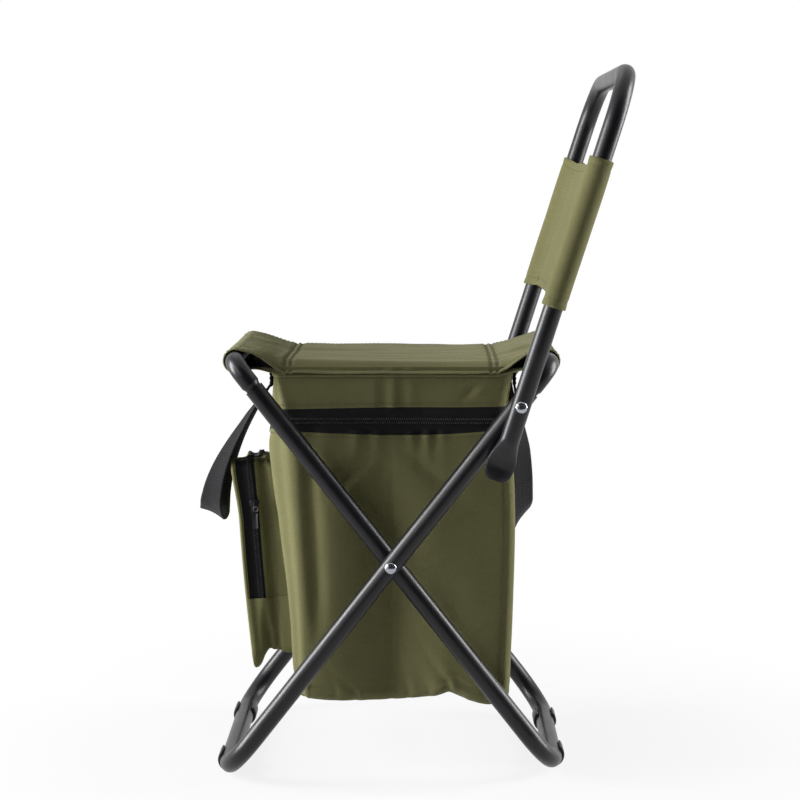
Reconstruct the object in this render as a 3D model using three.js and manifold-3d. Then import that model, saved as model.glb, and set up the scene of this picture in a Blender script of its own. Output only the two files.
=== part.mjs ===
// Folding stool with a backrest and a cooler bag slung between its crossed legs.
// Millimetres, +Z up, the pocket side towards -X and the backrest towards +X.
import * as THREE from 'three';
import { mergeVertices } from 'three/addons/utils/BufferGeometryUtils.js';
import Module from 'manifold-3d';

const wasm = await Module();
wasm.setup();

// Tube and fits
const tubeDiameter = 16;
const tubeWall = 1;
const tubeSides = 12;
const bendSteps = 5;
const weldDistance = 1e-4; // points closer than this are one
const fitGap = 0.3; // left between pieces that touch

// Leg frames, measured on the tubes' middle lines
const innerHalfWidth = 105;
const footReach = 138.5;
const seatReach = 130;
const seatBarHeight = 354;
const legBendRadius = 40;
const barBendRadius = 15;
const legTopDrop = 27; // from the seat bar down the leg to the leg's open end
const spigotDepth = 30;
const spigotNeck = 4;

// Feet
const soleThickness = 1.5;
const clipWall = 2.6;
const clipLength = 22;
const clipMouthHalfAngle = THREE.MathUtils.degToRad(48);
const clipInset = 12; // from the start of the bend to the clip's middle
const clipSteps = 14;

// Rivets and washers
const rivetDiameter = 5;
const rivetHeadDiameter = 11;
const rivetHeadHeight = 2.4;
const rivetHeadEdge = 0.6; // straight rim under the dome
const rivetTailDiameter = 8.4;
const rivetTailHeight = 1.4;
const rivetTailChamfer = 0.7;
const domeSteps = 3;
const washerDiameter = 12.6;
const washerThickness = 1;
const roundSides = 16;

// Backrest
const backrestLean = THREE.MathUtils.degToRad(17.6);
const backrestReach = 280; // from the pivot to the top bar
const backrestBendRadius = 45;
const pivotDrop = 40; // from the rear seat bar down the leg to the pivot
const paddleStart = 28; // where the round tube begins to flatten, below the pivot
const paddleFlat = 50;
const paddleEnd = 66;
const paddleWidth = 24;
const paddleThickness = 3.4;
const paddleTipLength = 4;
const paddleTipWidth = 12;
const paddleShoulderWidth = 20.6; // where the rounded tip begins
const paddleTurnIn = 11;
const panelStart = 84; // from the pivot up to the cloth's lower hem
const panelHeight = 124;
const panelCloth = 1.5;
const panelWeb = 2.4;
const panelSleeveSteps = 14;

// Seat
const seatCloth = 1.6;
const sleeveSides = 16;
const slingDrop = 4; // from the seat bars' height down to the flat of the sling
const slingThickness = 4.5;
const slingEndThickness = 15;
const slingEase = 0.3; // share of the drop still left midway to the stitches
const stitchInset = 42; // from a seat bar to its row of stitches

// Bag
const legToBag = 11; // from the inner legs' faces to the bag's sides
const bagFrontInset = 29;
const bagRearInset = 27;
const bagFrontTaper = 17;
const bagHeight = 279;
const bagCorner = 18;
const cloth = 1.2;
const foam = 4;
const skirtHeight = 30;
const zipHeight = 23.6;
const lidPad = 5;

// Zip sliders
const sliderLength = 11;
const sliderWidth = 8;
const sliderWaist = 5.6;
const sliderThickness = 3;
const pullLength = 19;
const pullWidth = 5;
const pullNeck = 3.5;
const pullThickness = 1.4;
const pullEye = 2.25;
const eyeSides = 8;
const mainSliderInset = 12; // from the zip's rear end to the slider's middle
const pocketSliderDrop = 44; // from the pocket's top to the slider's middle

// Front pocket
const pocketHalfWidth = 60;
const pocketHeight = 180;
const pocketTopDrop = 19; // from the top of the bag's front panel
const pocketGussetDepth = 14.4;
const pocketZipDepth = 12;
const pocketEdgeDepth = 7;
const pocketZipLength = 126; // down each side, from the top

// Webbing handles
const webbingWidth = 25;
const webbingThickness = 1.8;
const tabHeight = 14;
const handleInset = 34; // from the bag's side to the middle of each end
const handleSteps = 30;
const handleSinkPower = 0.62; // lower makes the loop hang squarer
const handleSpreadPower = 0.8;
const handleSlopeStep = 0.004; // share of the loop over which its direction is taken
const turnStart = 0.45; // how deep in the loop the webbing begins and ends its turn
const turnEnd = 0.97;
const frontHandleDrop = 118;
const frontHandleThrow = 49;
const frontHandleTurn = THREE.MathUtils.degToRad(90);
const rearHandleDrop = 122;
const rearHandleThrow = 9;
const rearHandleTurn = THREE.MathUtils.degToRad(35);

// Worked out from the sizes above
const tubeRadius = tubeDiameter / 2;
const footHeight = tubeRadius + fitGap + soleThickness;
const sideStep = tubeDiameter + washerThickness + 2 * fitGap;
const outerHalfWidth = innerHalfWidth + sideStep;
const backrestHalfWidth = outerHalfWidth + sideStep;
const spigotRadius = tubeRadius - tubeWall - fitGap;
const legUp = new THREE.Vector3(footReach + seatReach, 0, seatBarHeight - footHeight).normalize();
const crossingHeight = footHeight + (seatBarHeight - footHeight) * footReach / (footReach + seatReach);
const sleeveInner = tubeRadius + fitGap;
const sleeveOuter = sleeveInner + seatCloth;
const seatHalfWidth = innerHalfWidth - barBendRadius;
const slingTop = seatBarHeight - slingDrop;
const bagTop = slingTop - slingThickness - fitGap;
const bagBottom = bagTop - bagHeight;
const bagHalfWidth = innerHalfWidth - tubeRadius - legToBag;
const handleSpread = bagHalfWidth - handleInset;
const zipTop = bagTop - skirtHeight;
const zipBottom = zipTop - zipHeight;
const bagFront = -(seatReach - bagFrontInset);
const bagRear = seatReach - bagRearInset;
const frontLean = Math.atan2(bagFrontTaper, zipBottom - bagBottom);
const pivotAt = new THREE.Vector3(seatReach, 0, seatBarHeight).addScaledVector(legUp, -pivotDrop);

// Finishes
function finish(color, roughness, metalness) {
  return new THREE.MeshStandardMaterial({ color, roughness, metalness });
}

const blackPaint = finish('#1d1d20', 0.35, 0.4);
const zincSteel = finish('#b9babb', 0.3, 1);
const blackPlastic = finish('#18181a', 0.6, 0);
const oliveCloth = finish('#6f6c4a', 0.9, 0);
const blackTape = finish('#161618', 0.85, 0);
const foilFoam = finish('#c4c6c8', 0.4, 0.3);

// Makes one mesh of a geometry.
function piece(name, geometry, material) {
  const mesh = new THREE.Mesh(geometry, material);
  mesh.name = name;
  return mesh;
}

// Turns a closed geometry into a solid that can be cut and joined, and back.
function toSolid(geometry) {
  const bare = geometry.clone();
  bare.deleteAttribute('normal');
  bare.deleteAttribute('uv');
  const merged = mergeVertices(bare, weldDistance);
  const vertProperties = new Float32Array(merged.attributes.position.array);
  const triVerts = new Uint32Array(merged.index.array);
  return new wasm.Manifold(new wasm.Mesh({ numProp: 3, vertProperties, triVerts }));
}

function fromSolid(solid) {
  const mesh = solid.getMesh();
  const geometry = new THREE.BufferGeometry();
  geometry.setAttribute('position', new THREE.BufferAttribute(mesh.vertProperties, 3));
  geometry.setIndex(new THREE.BufferAttribute(mesh.triVerts, 1));
  return geometry;
}

function cut(geometry, ...tools) {
  let solid = toSolid(geometry);
  for (const tool of tools) solid = solid.subtract(toSolid(tool));
  return fromSolid(solid);
}

// Skins a row of rings into a closed body. With bores, the body is open right through.
function skin(rings, bores) {
  const count = rings[0].length;
  const last = rings.length - 1;
  const points = [...rings.flat(), ...(bores ? bores.flat() : [])];
  const base = rings.length * count;
  const index = [];
  const quad = (a, b, c, d) => index.push(a, b, c, a, c, d);
  for (let k = 0; k < count; k += 1) {
    const next = (k + 1) % count;
    for (let i = 0; i < last; i += 1) {
      const here = i * count;
      const there = here + count;
      quad(here + k, here + next, there + next, there + k);
      if (bores) quad(base + here + next, base + here + k, base + there + k, base + there + next);
    }
    if (bores) {
      quad(k, base + k, base + next, next);
      quad(last * count + next, base + last * count + next, base + last * count + k, last * count + k);
    }
  }
  for (let k = 1; k < count - 1 && !bores; k += 1) {
    index.push(0, k + 1, k, last * count, last * count + k, last * count + k + 1);
  }
  const geometry = new THREE.BufferGeometry().setFromPoints(points);
  geometry.setIndex(index);
  return geometry;
}

// Stations along straight runs joined by round bends.
function bentRun(corners, radius) {
  const stations = [{ at: corners[0], along: corners[1].clone().sub(corners[0]).normalize() }];
  for (let i = 1; i < corners.length - 1; i += 1) {
    const before = corners[i].clone().sub(corners[i - 1]).normalize();
    const after = corners[i + 1].clone().sub(corners[i]).normalize();
    const turn = before.angleTo(after);
    const reach = radius * Math.tan(turn / 2);
    const start = corners[i].clone().addScaledVector(before, -reach);
    const inward = after.clone().addScaledVector(before, -after.dot(before)).normalize();
    for (let k = 0; k <= bendSteps; k += 1) {
      const angle = turn * k / bendSteps;
      const at = start.clone().addScaledVector(before, radius * Math.sin(angle));
      at.addScaledVector(inward, radius * (1 - Math.cos(angle)));
      const along = before.clone().multiplyScalar(Math.cos(angle)).addScaledVector(inward, Math.sin(angle));
      stations.push({ at, along });
    }
  }
  const end = corners[corners.length - 1];
  stations.push({ at: end, along: end.clone().sub(corners[corners.length - 2]).normalize() });
  return stations;
}

// An oval ring round a station, wide along one direction and thick along the other.
function ovalRing(station, wideWay, wide, thick) {
  const thickWay = station.along.clone().cross(wideWay);
  return Array.from({ length: tubeSides }, (_, k) => {
    const angle = 2 * Math.PI * (k + 0.5) / tubeSides;
    const point = station.at.clone().addScaledVector(wideWay, wide * Math.cos(angle));
    return point.addScaledVector(thickWay, thick * Math.sin(angle));
  });
}

// A hollow tube through stations, each with its own half width and half thickness.
function hollowTube(stations, flatWay) {
  const sizes = stations.map(({ wide = tubeRadius, thick = tubeRadius }) => [wide, thick]);
  const rings = stations.map((station, i) => ovalRing(station, flatWay, ...sizes[i]));
  const bores = stations.map((station, i) => {
    return ovalRing(station, flatWay, sizes[i][0] - tubeWall, sizes[i][1] - tubeWall);
  });
  return skin(rings, bores);
}

// A round hole through everything, across the stool.
function crossDrill(at, diameter) {
  const length = 2 * (backrestHalfWidth + tubeDiameter);
  const drill = new THREE.CylinderGeometry(diameter / 2, diameter / 2, length, roundSides);
  return drill.translate(at.x, 0, at.z);
}

// Draws an outline in x and z out across the stool, from one y to another.
function acrossY(outline, from, to) {
  const geometry = new THREE.ExtrudeGeometry(outline, { depth: to - from, bevelEnabled: false });
  return geometry.rotateX(Math.PI / 2).translate(0, to, 0);
}

// Draws an outline in y and z out along x, from one x to another.
function alongX(outline, from, to) {
  const geometry = new THREE.ExtrudeGeometry(outline, { depth: to - from, bevelEnabled: false });
  const turn = new THREE.Matrix4().makeBasis(
    new THREE.Vector3(0, 1, 0), new THREE.Vector3(0, 0, 1), new THREE.Vector3(1, 0, 0));
  return geometry.applyMatrix4(turn).translate(from, 0, 0);
}

const outline = (points) => new THREE.Shape(points.map(([x, y]) => new THREE.Vector2(x, y)));

function circlePath(radius, x, y, steps) {
  return Array.from({ length: steps }, (_, k) => {
    const angle = 2 * Math.PI * (k + 0.5) / steps;
    return new THREE.Vector2(x + radius * Math.cos(angle), y + radius * Math.sin(angle));
  });
}

// Leg frames: a U whose bar lies on the floor at one end of the stool. Facing is -1 for a
// bar at the front and +1 for a bar at the rear.
const crossing = new THREE.Vector3(0, 0, crossingHeight);

function legFrame(facing, halfWidth, drills) {
  const up = new THREE.Vector3(-facing * legUp.x, 0, legUp.z);
  const foot = new THREE.Vector3(facing * footReach, 0, footHeight);
  const top = new THREE.Vector3(-facing * seatReach, 0, seatBarHeight).addScaledVector(up, -legTopDrop);
  const corner = (point, side) => point.clone().setY(side * halfWidth);
  const corners = [corner(top, -1), corner(foot, -1), corner(foot, 1), corner(top, 1)];
  const stations = bentRun(corners, legBendRadius);
  const flatWay = up.clone().cross(new THREE.Vector3(0, 1, 0));
  return cut(hollowTube(stations, flatWay), ...drills);
}

// Seat bars: a bent tube across the stool with necked ends that plug into the legs. The
// backrest's rivets also pass through the rear bar's ends.
function seatBar(facing, halfWidth, drills) {
  const up = new THREE.Vector3(-facing * legUp.x, 0, legUp.z);
  const bar = new THREE.Vector3(-facing * seatReach, 0, seatBarHeight);
  const drop = (distance, side) => bar.clone().addScaledVector(up, -distance).setY(side * halfWidth);
  const elbowEnd = legTopDrop - spigotNeck - fitGap;
  const bend = bentRun([drop(elbowEnd, -1), drop(0, -1), drop(0, 1), drop(elbowEnd, 1)], barBendRadius);
  const down = up.clone().negate();
  const spigot = { wide: spigotRadius, thick: spigotRadius };
  const neckAt = legTopDrop - fitGap;
  const tipAt = legTopDrop + spigotDepth;
  const stations = [
    { at: drop(tipAt, -1), along: up, ...spigot },
    { at: drop(neckAt, -1), along: up, ...spigot },
    ...bend,
    { at: drop(neckAt, 1), along: down, ...spigot },
    { at: drop(tipAt, 1), along: down, ...spigot },
  ];
  return cut(hollowTube(stations, up.clone().cross(new THREE.Vector3(0, 1, 0))), ...drills);
}

// Backrest tube: a U standing on its pivots, its ends flattened and turned in under the legs.
const backrestUp = new THREE.Vector3(Math.sin(backrestLean), 0, Math.cos(backrestLean));

function backrestTube() {
  const place = (distance, side, turnIn = 0) => {
    return pivotAt.clone().addScaledVector(backrestUp, distance).setY(side * (backrestHalfWidth - turnIn));
  };
  const paddle = (side) => [
    [paddleEnd, paddleTipWidth],
    [paddleEnd - paddleTipLength, paddleShoulderWidth],
    [paddleFlat, paddleWidth],
  ].map(([distance, width]) => ({
    at: place(-distance, side, paddleTurnIn), wide: width / 2, thick: paddleThickness / 2,
  }));
  const middle = (side) => ({
    at: place(-(paddleStart + paddleFlat) / 2, side, paddleTurnIn / 2),
    wide: (tubeRadius + paddleWidth / 2) / 2,
    thick: (tubeRadius + paddleThickness / 2) / 2,
  });
  const corners = [
    place(-paddleStart, -1), place(backrestReach, -1), place(backrestReach, 1), place(-paddleStart, 1),
  ];
  const run = bentRun(corners, backrestBendRadius);
  const rising = [...paddle(-1), middle(-1)].map((station) => ({ ...station, along: backrestUp }));
  const fallWay = backrestUp.clone().negate();
  const falling = [middle(1), ...paddle(1).reverse()].map((station) => ({ ...station, along: fallWay }));
  const flatWay = backrestUp.clone().cross(new THREE.Vector3(0, 1, 0));
  const tube = hollowTube([...rising, ...run, ...falling], flatWay);
  return cut(tube, crossDrill(pivotAt, rivetDiameter + 2 * fitGap));
}

// Foot clips: a split ring with a flat sole, snapped on the floor bar from below.
function footClip(facing, y) {
  const inner = tubeRadius + fitGap;
  const outer = inner + clipWall;
  const sweep = 2 * Math.PI - 2 * clipMouthHalfAngle;
  const start = Math.PI / 2 + clipMouthHalfAngle;
  const arc = (radius, k) => {
    const angle = start + sweep * k / clipSteps;
    return [radius * Math.cos(angle), Math.max(radius * Math.sin(angle), -footHeight)];
  };
  const steps = Array.from({ length: clipSteps + 1 }, (_, k) => k);
  const ring = [...steps.map((k) => arc(outer, k)), ...steps.reverse().map((k) => arc(inner, k))];
  return acrossY(outline(ring), y - clipLength / 2, y + clipLength / 2)
    .translate(facing * footReach, 0, footHeight);
}

// Rivets and washers lie along y, with the head on the outside of the given side.
function turned(profile, at, side) {
  const points = profile.map(([radius, height]) => new THREE.Vector2(radius, height));
  const geometry = new THREE.LatheGeometry(points, roundSides);
  if (side < 0) geometry.rotateX(Math.PI);
  return geometry.translate(at.x, 0, at.z);
}

function rivet(at, innerFace, outerFace, side) {
  const head = outerFace + fitGap;
  const tail = innerFace - fitGap;
  const shank = rivetDiameter / 2;
  const crown = rivetHeadDiameter / 2;
  const button = rivetTailDiameter / 2;
  const dome = Array.from({ length: domeSteps + 1 }, (_, k) => {
    const angle = Math.PI / 2 * k / domeSteps;
    const rise = rivetHeadEdge + (rivetHeadHeight - rivetHeadEdge) * Math.sin(angle);
    return [k < domeSteps ? crown * Math.cos(angle) : 0, head + rise];
  });
  return turned([
    [0, tail - rivetTailHeight], [button - rivetTailChamfer, tail - rivetTailHeight],
    [button, tail - rivetTailHeight + rivetTailChamfer], [button, tail], [shank, tail],
    [shank, head], [crown, head], ...dome,
  ], at, side);
}

function washer(at, innerFace, side) {
  const hole = rivetDiameter / 2 + fitGap;
  const rim = washerDiameter / 2;
  const from = innerFace + fitGap;
  const to = from + washerThickness;
  return turned([[hole, from], [rim, from], [rim, to], [hole, to], [hole, from]], at, side);
}

// Seat sleeves: a cloth loop round each seat bar.
function seatSleeve(facing) {
  const ring = new THREE.Shape(circlePath(sleeveOuter, 0, 0, sleeveSides));
  ring.holes.push(new THREE.Path(circlePath(sleeveInner, 0, 0, sleeveSides)));
  return acrossY(ring, -seatHalfWidth, seatHalfWidth).translate(-facing * seatReach, 0, seatBarHeight);
}

// Seat sling: thick where its two layers leave the sleeves, flat between the rows of stitches.
function seatSling() {
  const end = seatReach - sleeveOuter - fitGap;
  const stitch = seatReach - stitchInset;
  const middle = (end + stitch) / 2;
  const endTop = seatBarHeight + slingEndThickness / 2;
  const endBottom = seatBarHeight - slingEndThickness / 2;
  const slingBottom = slingTop - slingThickness;
  const dip = slingEase * (endTop - slingTop);
  const half = [[end, endBottom], [end, endTop], [middle, slingTop + dip], [stitch, slingTop]];
  const mirrored = [[-stitch, slingTop], [-middle, slingTop + dip], [-end, endTop], [-end, endBottom]];
  const belly = [[-stitch, slingBottom], [stitch, slingBottom]];
  return acrossY(outline([...half, ...mirrored, ...belly]), -seatHalfWidth, seatHalfWidth);
}

// Backrest panel: a flat web of cloth with a sleeve round each side tube.
function backrestPanel() {
  const inner = tubeRadius + fitGap;
  const outer = inner + panelCloth;
  const half = panelWeb / 2;
  const neck = Math.asin(half / outer);
  const lobe = (side) => Array.from({ length: panelSleeveSteps + 1 }, (_, k) => {
    const first = neck - (side > 0 ? Math.PI : 0);
    const angle = first + (2 * Math.PI - 2 * neck) * k / panelSleeveSteps;
    return new THREE.Vector2(outer * Math.sin(angle), side * backrestHalfWidth + outer * Math.cos(angle));
  });
  const shape = new THREE.Shape([...lobe(1), ...lobe(-1)]);
  for (const side of [-1, 1]) {
    shape.holes.push(new THREE.Path(circlePath(inner, 0, side * backrestHalfWidth, tubeSides)));
  }
  const geometry = new THREE.ExtrudeGeometry(shape, { depth: panelHeight, bevelEnabled: false });
  const place = pivotAt.clone().addScaledVector(backrestUp, panelStart);
  return geometry.rotateY(backrestLean).translate(place.x, 0, place.z);
}

// Bag panels: the front leans in towards the bottom, the other walls stand straight.
const frontAt = (z) => bagFront + bagFrontTaper * Math.max(zipBottom - z, 0) / (zipBottom - bagBottom);

function wallSection(inset, bottom, top) {
  const levels = [top, Math.min(top, zipBottom) - bagCorner, bottom + bagCorner];
  const rearCorner = bagCorner / 2;
  return [
    ...levels.map((z) => [frontAt(z) + inset, z]),
    [frontAt(bottom) + inset + rearCorner, bottom], [bagRear - inset - rearCorner, bottom],
    [bagRear - inset, bottom + rearCorner], [bagRear - inset, top],
  ];
}

function bagFrontPanel() {
  const foot = bagBottom + bagCorner + fitGap;
  const strip = [
    [frontAt(zipBottom), zipBottom - fitGap], [frontAt(foot), foot],
    [frontAt(foot) + cloth, foot], [frontAt(zipBottom) + cloth, zipBottom - fitGap],
  ];
  return acrossY(outline(strip), -bagHalfWidth, bagHalfWidth);
}

function bagRearPanel() {
  const foot = bagBottom + bagCorner / 2 + fitGap;
  const strip = [[bagRear - cloth, foot], [bagRear, foot], [bagRear, bagTop], [bagRear - cloth, bagTop]];
  return acrossY(outline(strip), -bagHalfWidth, bagHalfWidth);
}

function bagSidePanel(side) {
  const section = outline(wallSection(cloth + fitGap, bagBottom + cloth + fitGap, zipBottom - fitGap));
  const faces = [side * bagHalfWidth, side * (bagHalfWidth - cloth)];
  return acrossY(section, Math.min(...faces), Math.max(...faces));
}

function bagBottomPanel() {
  const outside = wallSection(0, bagBottom, zipBottom).slice(2, 6);
  const inside = wallSection(cloth, bagBottom + cloth, zipBottom).slice(2, 6);
  inside[0][1] = outside[0][1];
  inside[3][1] = outside[3][1];
  return acrossY(outline([...outside, ...inside.reverse()]), -bagHalfWidth, bagHalfWidth);
}

function coolerLiner() {
  const skinDepth = cloth + 2 * fitGap;
  const halfOut = bagHalfWidth - cloth - fitGap;
  const brim = zipBottom + zipHeight / 2 - 2 * fitGap;
  const body = acrossY(outline(wallSection(skinDepth, bagBottom + skinDepth, brim)), -halfOut, halfOut);
  const roomSection = wallSection(skinDepth + foam, bagBottom + skinDepth + foam, brim + foam);
  const room = acrossY(outline(roomSection), foam - halfOut, halfOut - foam);
  return cut(body, room);
}

// A band round the bag at zip height. Closed at the rear for the skirt, open there for the tapes.
function bagBand(bottom, top, rear, closed) {
  const front = bagFront;
  const half = bagHalfWidth;
  const back = closed ? rear - cloth : rear;
  const room = [
    [front + cloth, cloth - half], [front + cloth, half - cloth], [back, half - cloth], [back, cloth - half],
  ];
  const outside = [[rear, half], [front, half], [front, -half], [rear, -half]];
  const band = outline(closed ? outside : [[back, cloth - half], ...room.slice(0, 3), ...outside]);
  if (closed) band.holes.push(new THREE.Path(room.map(([x, y]) => new THREE.Vector2(x, y))));
  const depth = top - bottom;
  return new THREE.ExtrudeGeometry(band, { depth, bevelEnabled: false }).translate(0, 0, bottom);
}

function lidPadSlab() {
  const inset = cloth + fitGap;
  const section = [
    [bagFront + inset, bagTop - lidPad], [bagRear - 2 * inset, bagTop - lidPad],
    [bagRear - 2 * inset, bagTop], [bagFront + inset, bagTop],
  ];
  return acrossY(outline(section), inset - bagHalfWidth, bagHalfWidth - inset);
}

// A zip slider on a face turned to -Y: a waisted body, and a pull that hangs from it.
function sliderBody() {
  const long = sliderLength / 2;
  const wide = sliderWidth / 2;
  const waist = sliderWaist / 2;
  const shape = outline([
    [-long, -waist], [0, -wide], [long, -waist], [long, waist], [0, wide], [-long, waist],
  ]);
  return acrossY(shape, -sliderThickness, 0);
}

function sliderPull() {
  const half = pullWidth / 2;
  const neck = pullNeck / 2;
  const shape = outline([[-half, -pullLength], [half, -pullLength], [neck, 0], [-neck, 0]]);
  const eye = new THREE.Path(circlePath(pullEye / 2, 0, -pullLength + half, eyeSides).reverse());
  shape.holes.push(eye);
  return acrossY(shape, -pullThickness, 0);
}

// Pocket: built on the bag's front panel, x running out of the panel as negative.
function pocketRing(inset) {
  const half = pocketHalfWidth - inset;
  return [[-half, inset - pocketHeight], [half, inset - pocketHeight], [half, -inset], [-half, -inset]];
}

function pocketGusset() {
  const ring = outline(pocketRing(0));
  ring.holes.push(new THREE.Path(pocketRing(cloth).reverse().map(([y, z]) => new THREE.Vector2(y, z))));
  return alongX(ring, -fitGap - pocketGussetDepth, -fitGap);
}

const pocketZipBack = -2 * fitGap - pocketGussetDepth;
const pocketZipFront = pocketZipBack - pocketZipDepth;

function pocketZipTape() {
  const half = pocketHalfWidth;
  const hoop = outline([
    [-half, -pocketZipLength], [cloth - half, -pocketZipLength], [cloth - half, -cloth],
    [half - cloth, -cloth], [half - cloth, -pocketZipLength], [half, -pocketZipLength],
    [half, 0], [-half, 0],
  ]);
  return alongX(hoop, pocketZipFront, pocketZipBack);
}

function pocketLowerBand() {
  const half = pocketHalfWidth;
  const top = -pocketZipLength - fitGap;
  const floor = cloth - pocketHeight;
  const tray = outline([
    [-half, top], [-half, -pocketHeight], [half, -pocketHeight], [half, top],
    [half - cloth, top], [half - cloth, floor], [cloth - half, floor], [cloth - half, top],
  ]);
  return alongX(tray, pocketZipFront, pocketZipBack);
}

function pocketFront() {
  const back = pocketZipFront - fitGap;
  const face = alongX(outline(pocketRing(0)), back - pocketEdgeDepth, back);
  const room = alongX(outline(pocketRing(cloth)), back - pocketEdgeDepth + cloth, back + cloth);
  return cut(face, room);
}

// Webbing handles: flat against the bag at both ends, turned on edge at the bottom of the loop.
function handleLoop(facing, start, dropTo, throwOut, lastTurn) {
  const rings = [];
  for (let i = 0; i <= handleSteps; i += 1) {
    const { at, along, turn } = handleStation(i / handleSteps, facing, start, dropTo, throwOut, lastTurn);
    const outWay = new THREE.Vector3(facing, 0, 0);
    outWay.addScaledVector(along, -outWay.dot(along)).normalize();
    const sideWay = along.clone().cross(outWay);
    const wideWay = sideWay.clone().multiplyScalar(Math.cos(turn)).addScaledVector(outWay, Math.sin(turn));
    const thinWay = along.clone().cross(wideWay);
    rings.push([[-1, -1], [1, -1], [1, 1], [-1, 1]].map(([a, b]) => at.clone()
      .addScaledVector(wideWay, a * webbingWidth / 2)
      .addScaledVector(thinWay, b * webbingThickness / 2)));
  }
  return skin(rings);
}

function handlePoint(share, facing, start, dropTo, throwOut) {
  const angle = Math.PI * share;
  const sink = Math.pow(Math.sin(angle), handleSinkPower);
  const ease = Math.sin(Math.PI / 2 * sink);
  const side = -Math.sign(Math.cos(angle));
  const spread = side * handleSpread * Math.pow(Math.abs(Math.cos(angle)), handleSpreadPower);
  return new THREE.Vector3(start.x + facing * throwOut * ease, spread, start.z - dropTo * sink);
}

function handleStation(share, facing, start, dropTo, throwOut, lastTurn) {
  const at = handlePoint(share, facing, start, dropTo, throwOut);
  const before = handlePoint(Math.max(share - handleSlopeStep, 0), facing, start, dropTo, throwOut);
  const after = handlePoint(Math.min(share + handleSlopeStep, 1), facing, start, dropTo, throwOut);
  const along = after.sub(before).normalize();
  const turnShare = THREE.MathUtils.smoothstep(Math.sin(Math.PI * share), turnStart, turnEnd);
  return { at, along, turn: lastTurn * turnShare };
}

function handleTab(facing, face, side) {
  const from = side * handleSpread - webbingWidth / 2;
  const near = face + facing * fitGap;
  const far = near + facing * webbingThickness;
  const top = bagTop - fitGap;
  const section = [
    [Math.min(near, far), top - tabHeight], [Math.max(near, far), top - tabHeight],
    [Math.max(near, far), top], [Math.min(near, far), top],
  ];
  return acrossY(outline(section), from, from + webbingWidth);
}

// The stool
const stool = new THREE.Group();

const crossHole = crossDrill(crossing, rivetDiameter + 2 * fitGap);
const pivotHole = crossDrill(pivotAt, rivetDiameter + 2 * fitGap);
stool.add(piece('inner_leg_tube', legFrame(1, innerHalfWidth, [crossHole]), blackPaint));
stool.add(piece('outer_leg_tube', legFrame(-1, outerHalfWidth, [crossHole, pivotHole]), blackPaint));
stool.add(piece('front_seat_bar', seatBar(1, innerHalfWidth, []), blackPaint));
stool.add(piece('rear_seat_bar', seatBar(-1, outerHalfWidth, [pivotHole]), blackPaint));
stool.add(piece('backrest_tube', backrestTube(), blackPaint));

const rearClipPlace = innerHalfWidth - legBendRadius - clipInset;
const frontClipPlace = outerHalfWidth - legBendRadius - clipInset;
for (const [sideName, side] of [['left', -1], ['right', 1]]) {
  stool.add(piece(`rear_foot_${sideName}`, footClip(1, side * rearClipPlace), blackPlastic));
  stool.add(piece(`front_foot_${sideName}`, footClip(-1, side * frontClipPlace), blackPlastic));
  for (const [name, at, inner, outer] of [
    ['leg', crossing, innerHalfWidth, outerHalfWidth],
    ['backrest', pivotAt, outerHalfWidth, backrestHalfWidth],
  ]) {
    const pin = rivet(at, inner - tubeRadius, outer + tubeRadius, side);
    stool.add(piece(`${name}_rivet_${sideName}`, pin, zincSteel));
    stool.add(piece(`${name}_washer_${sideName}`, washer(at, inner + tubeRadius, side), blackPlastic));
  }
}

stool.add(piece('front_seat_sleeve', seatSleeve(1), oliveCloth));
stool.add(piece('rear_seat_sleeve', seatSleeve(-1), oliveCloth));
stool.add(piece('seat_sling', seatSling(), oliveCloth));
stool.add(piece('backrest_panel', backrestPanel(), oliveCloth));

const bandRear = bagRear - cloth - fitGap;
const zipMiddle = (zipTop + zipBottom) / 2;
stool.add(piece('bag_skirt', bagBand(zipTop, bagTop, bandRear, true), oliveCloth));
stool.add(piece('lid_pad', lidPadSlab(), foilFoam));
stool.add(piece('main_zip_upper_tape', bagBand(zipMiddle, zipTop - fitGap, bandRear, false), blackTape));
stool.add(piece('main_zip_lower_tape', bagBand(zipBottom, zipMiddle - fitGap, bandRear, false), blackTape));
stool.add(piece('bag_front_panel', bagFrontPanel(), oliveCloth));
stool.add(piece('bag_rear_panel', bagRearPanel(), oliveCloth));
stool.add(piece('bag_left_panel', bagSidePanel(-1), oliveCloth));
stool.add(piece('bag_right_panel', bagSidePanel(1), oliveCloth));
stool.add(piece('bag_bottom_panel', bagBottomPanel(), oliveCloth));
stool.add(piece('cooler_liner', coolerLiner(), foilFoam));

const mainSlider = new THREE.Group();
mainSlider.position.set(bandRear - mainSliderInset, -bagHalfWidth - fitGap, zipMiddle);
const mainPull = piece('main_zip_pull', sliderPull(), zincSteel);
mainPull.position.y = -sliderThickness - fitGap;
mainSlider.add(piece('main_zip_slider', sliderBody(), zincSteel), mainPull);
stool.add(mainSlider);

const pocket = new THREE.Group();
const pocketTop = zipBottom - pocketTopDrop;
pocket.position.set(frontAt(pocketTop), 0, pocketTop);
pocket.rotation.y = -frontLean;
pocket.add(piece('pocket_gusset', pocketGusset(), oliveCloth));
pocket.add(piece('pocket_zip_tape', pocketZipTape(), blackTape));
pocket.add(piece('pocket_lower_band', pocketLowerBand(), oliveCloth));
pocket.add(piece('pocket_front', pocketFront(), oliveCloth));

const pocketSlider = new THREE.Group();
const pocketZipPlane = (pocketZipFront + pocketZipBack) / 2;
pocketSlider.position.set(pocketZipPlane, -pocketHalfWidth - fitGap, -pocketSliderDrop);
const pocketBody = piece('pocket_zip_slider', sliderBody(), zincSteel);
pocketBody.rotation.y = Math.PI / 2;
const pocketPull = piece('pocket_zip_pull', sliderPull(), zincSteel);
pocketPull.position.y = -sliderThickness - fitGap;
pocketSlider.add(pocketBody, pocketPull);
pocket.add(pocketSlider);
stool.add(pocket);

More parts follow.
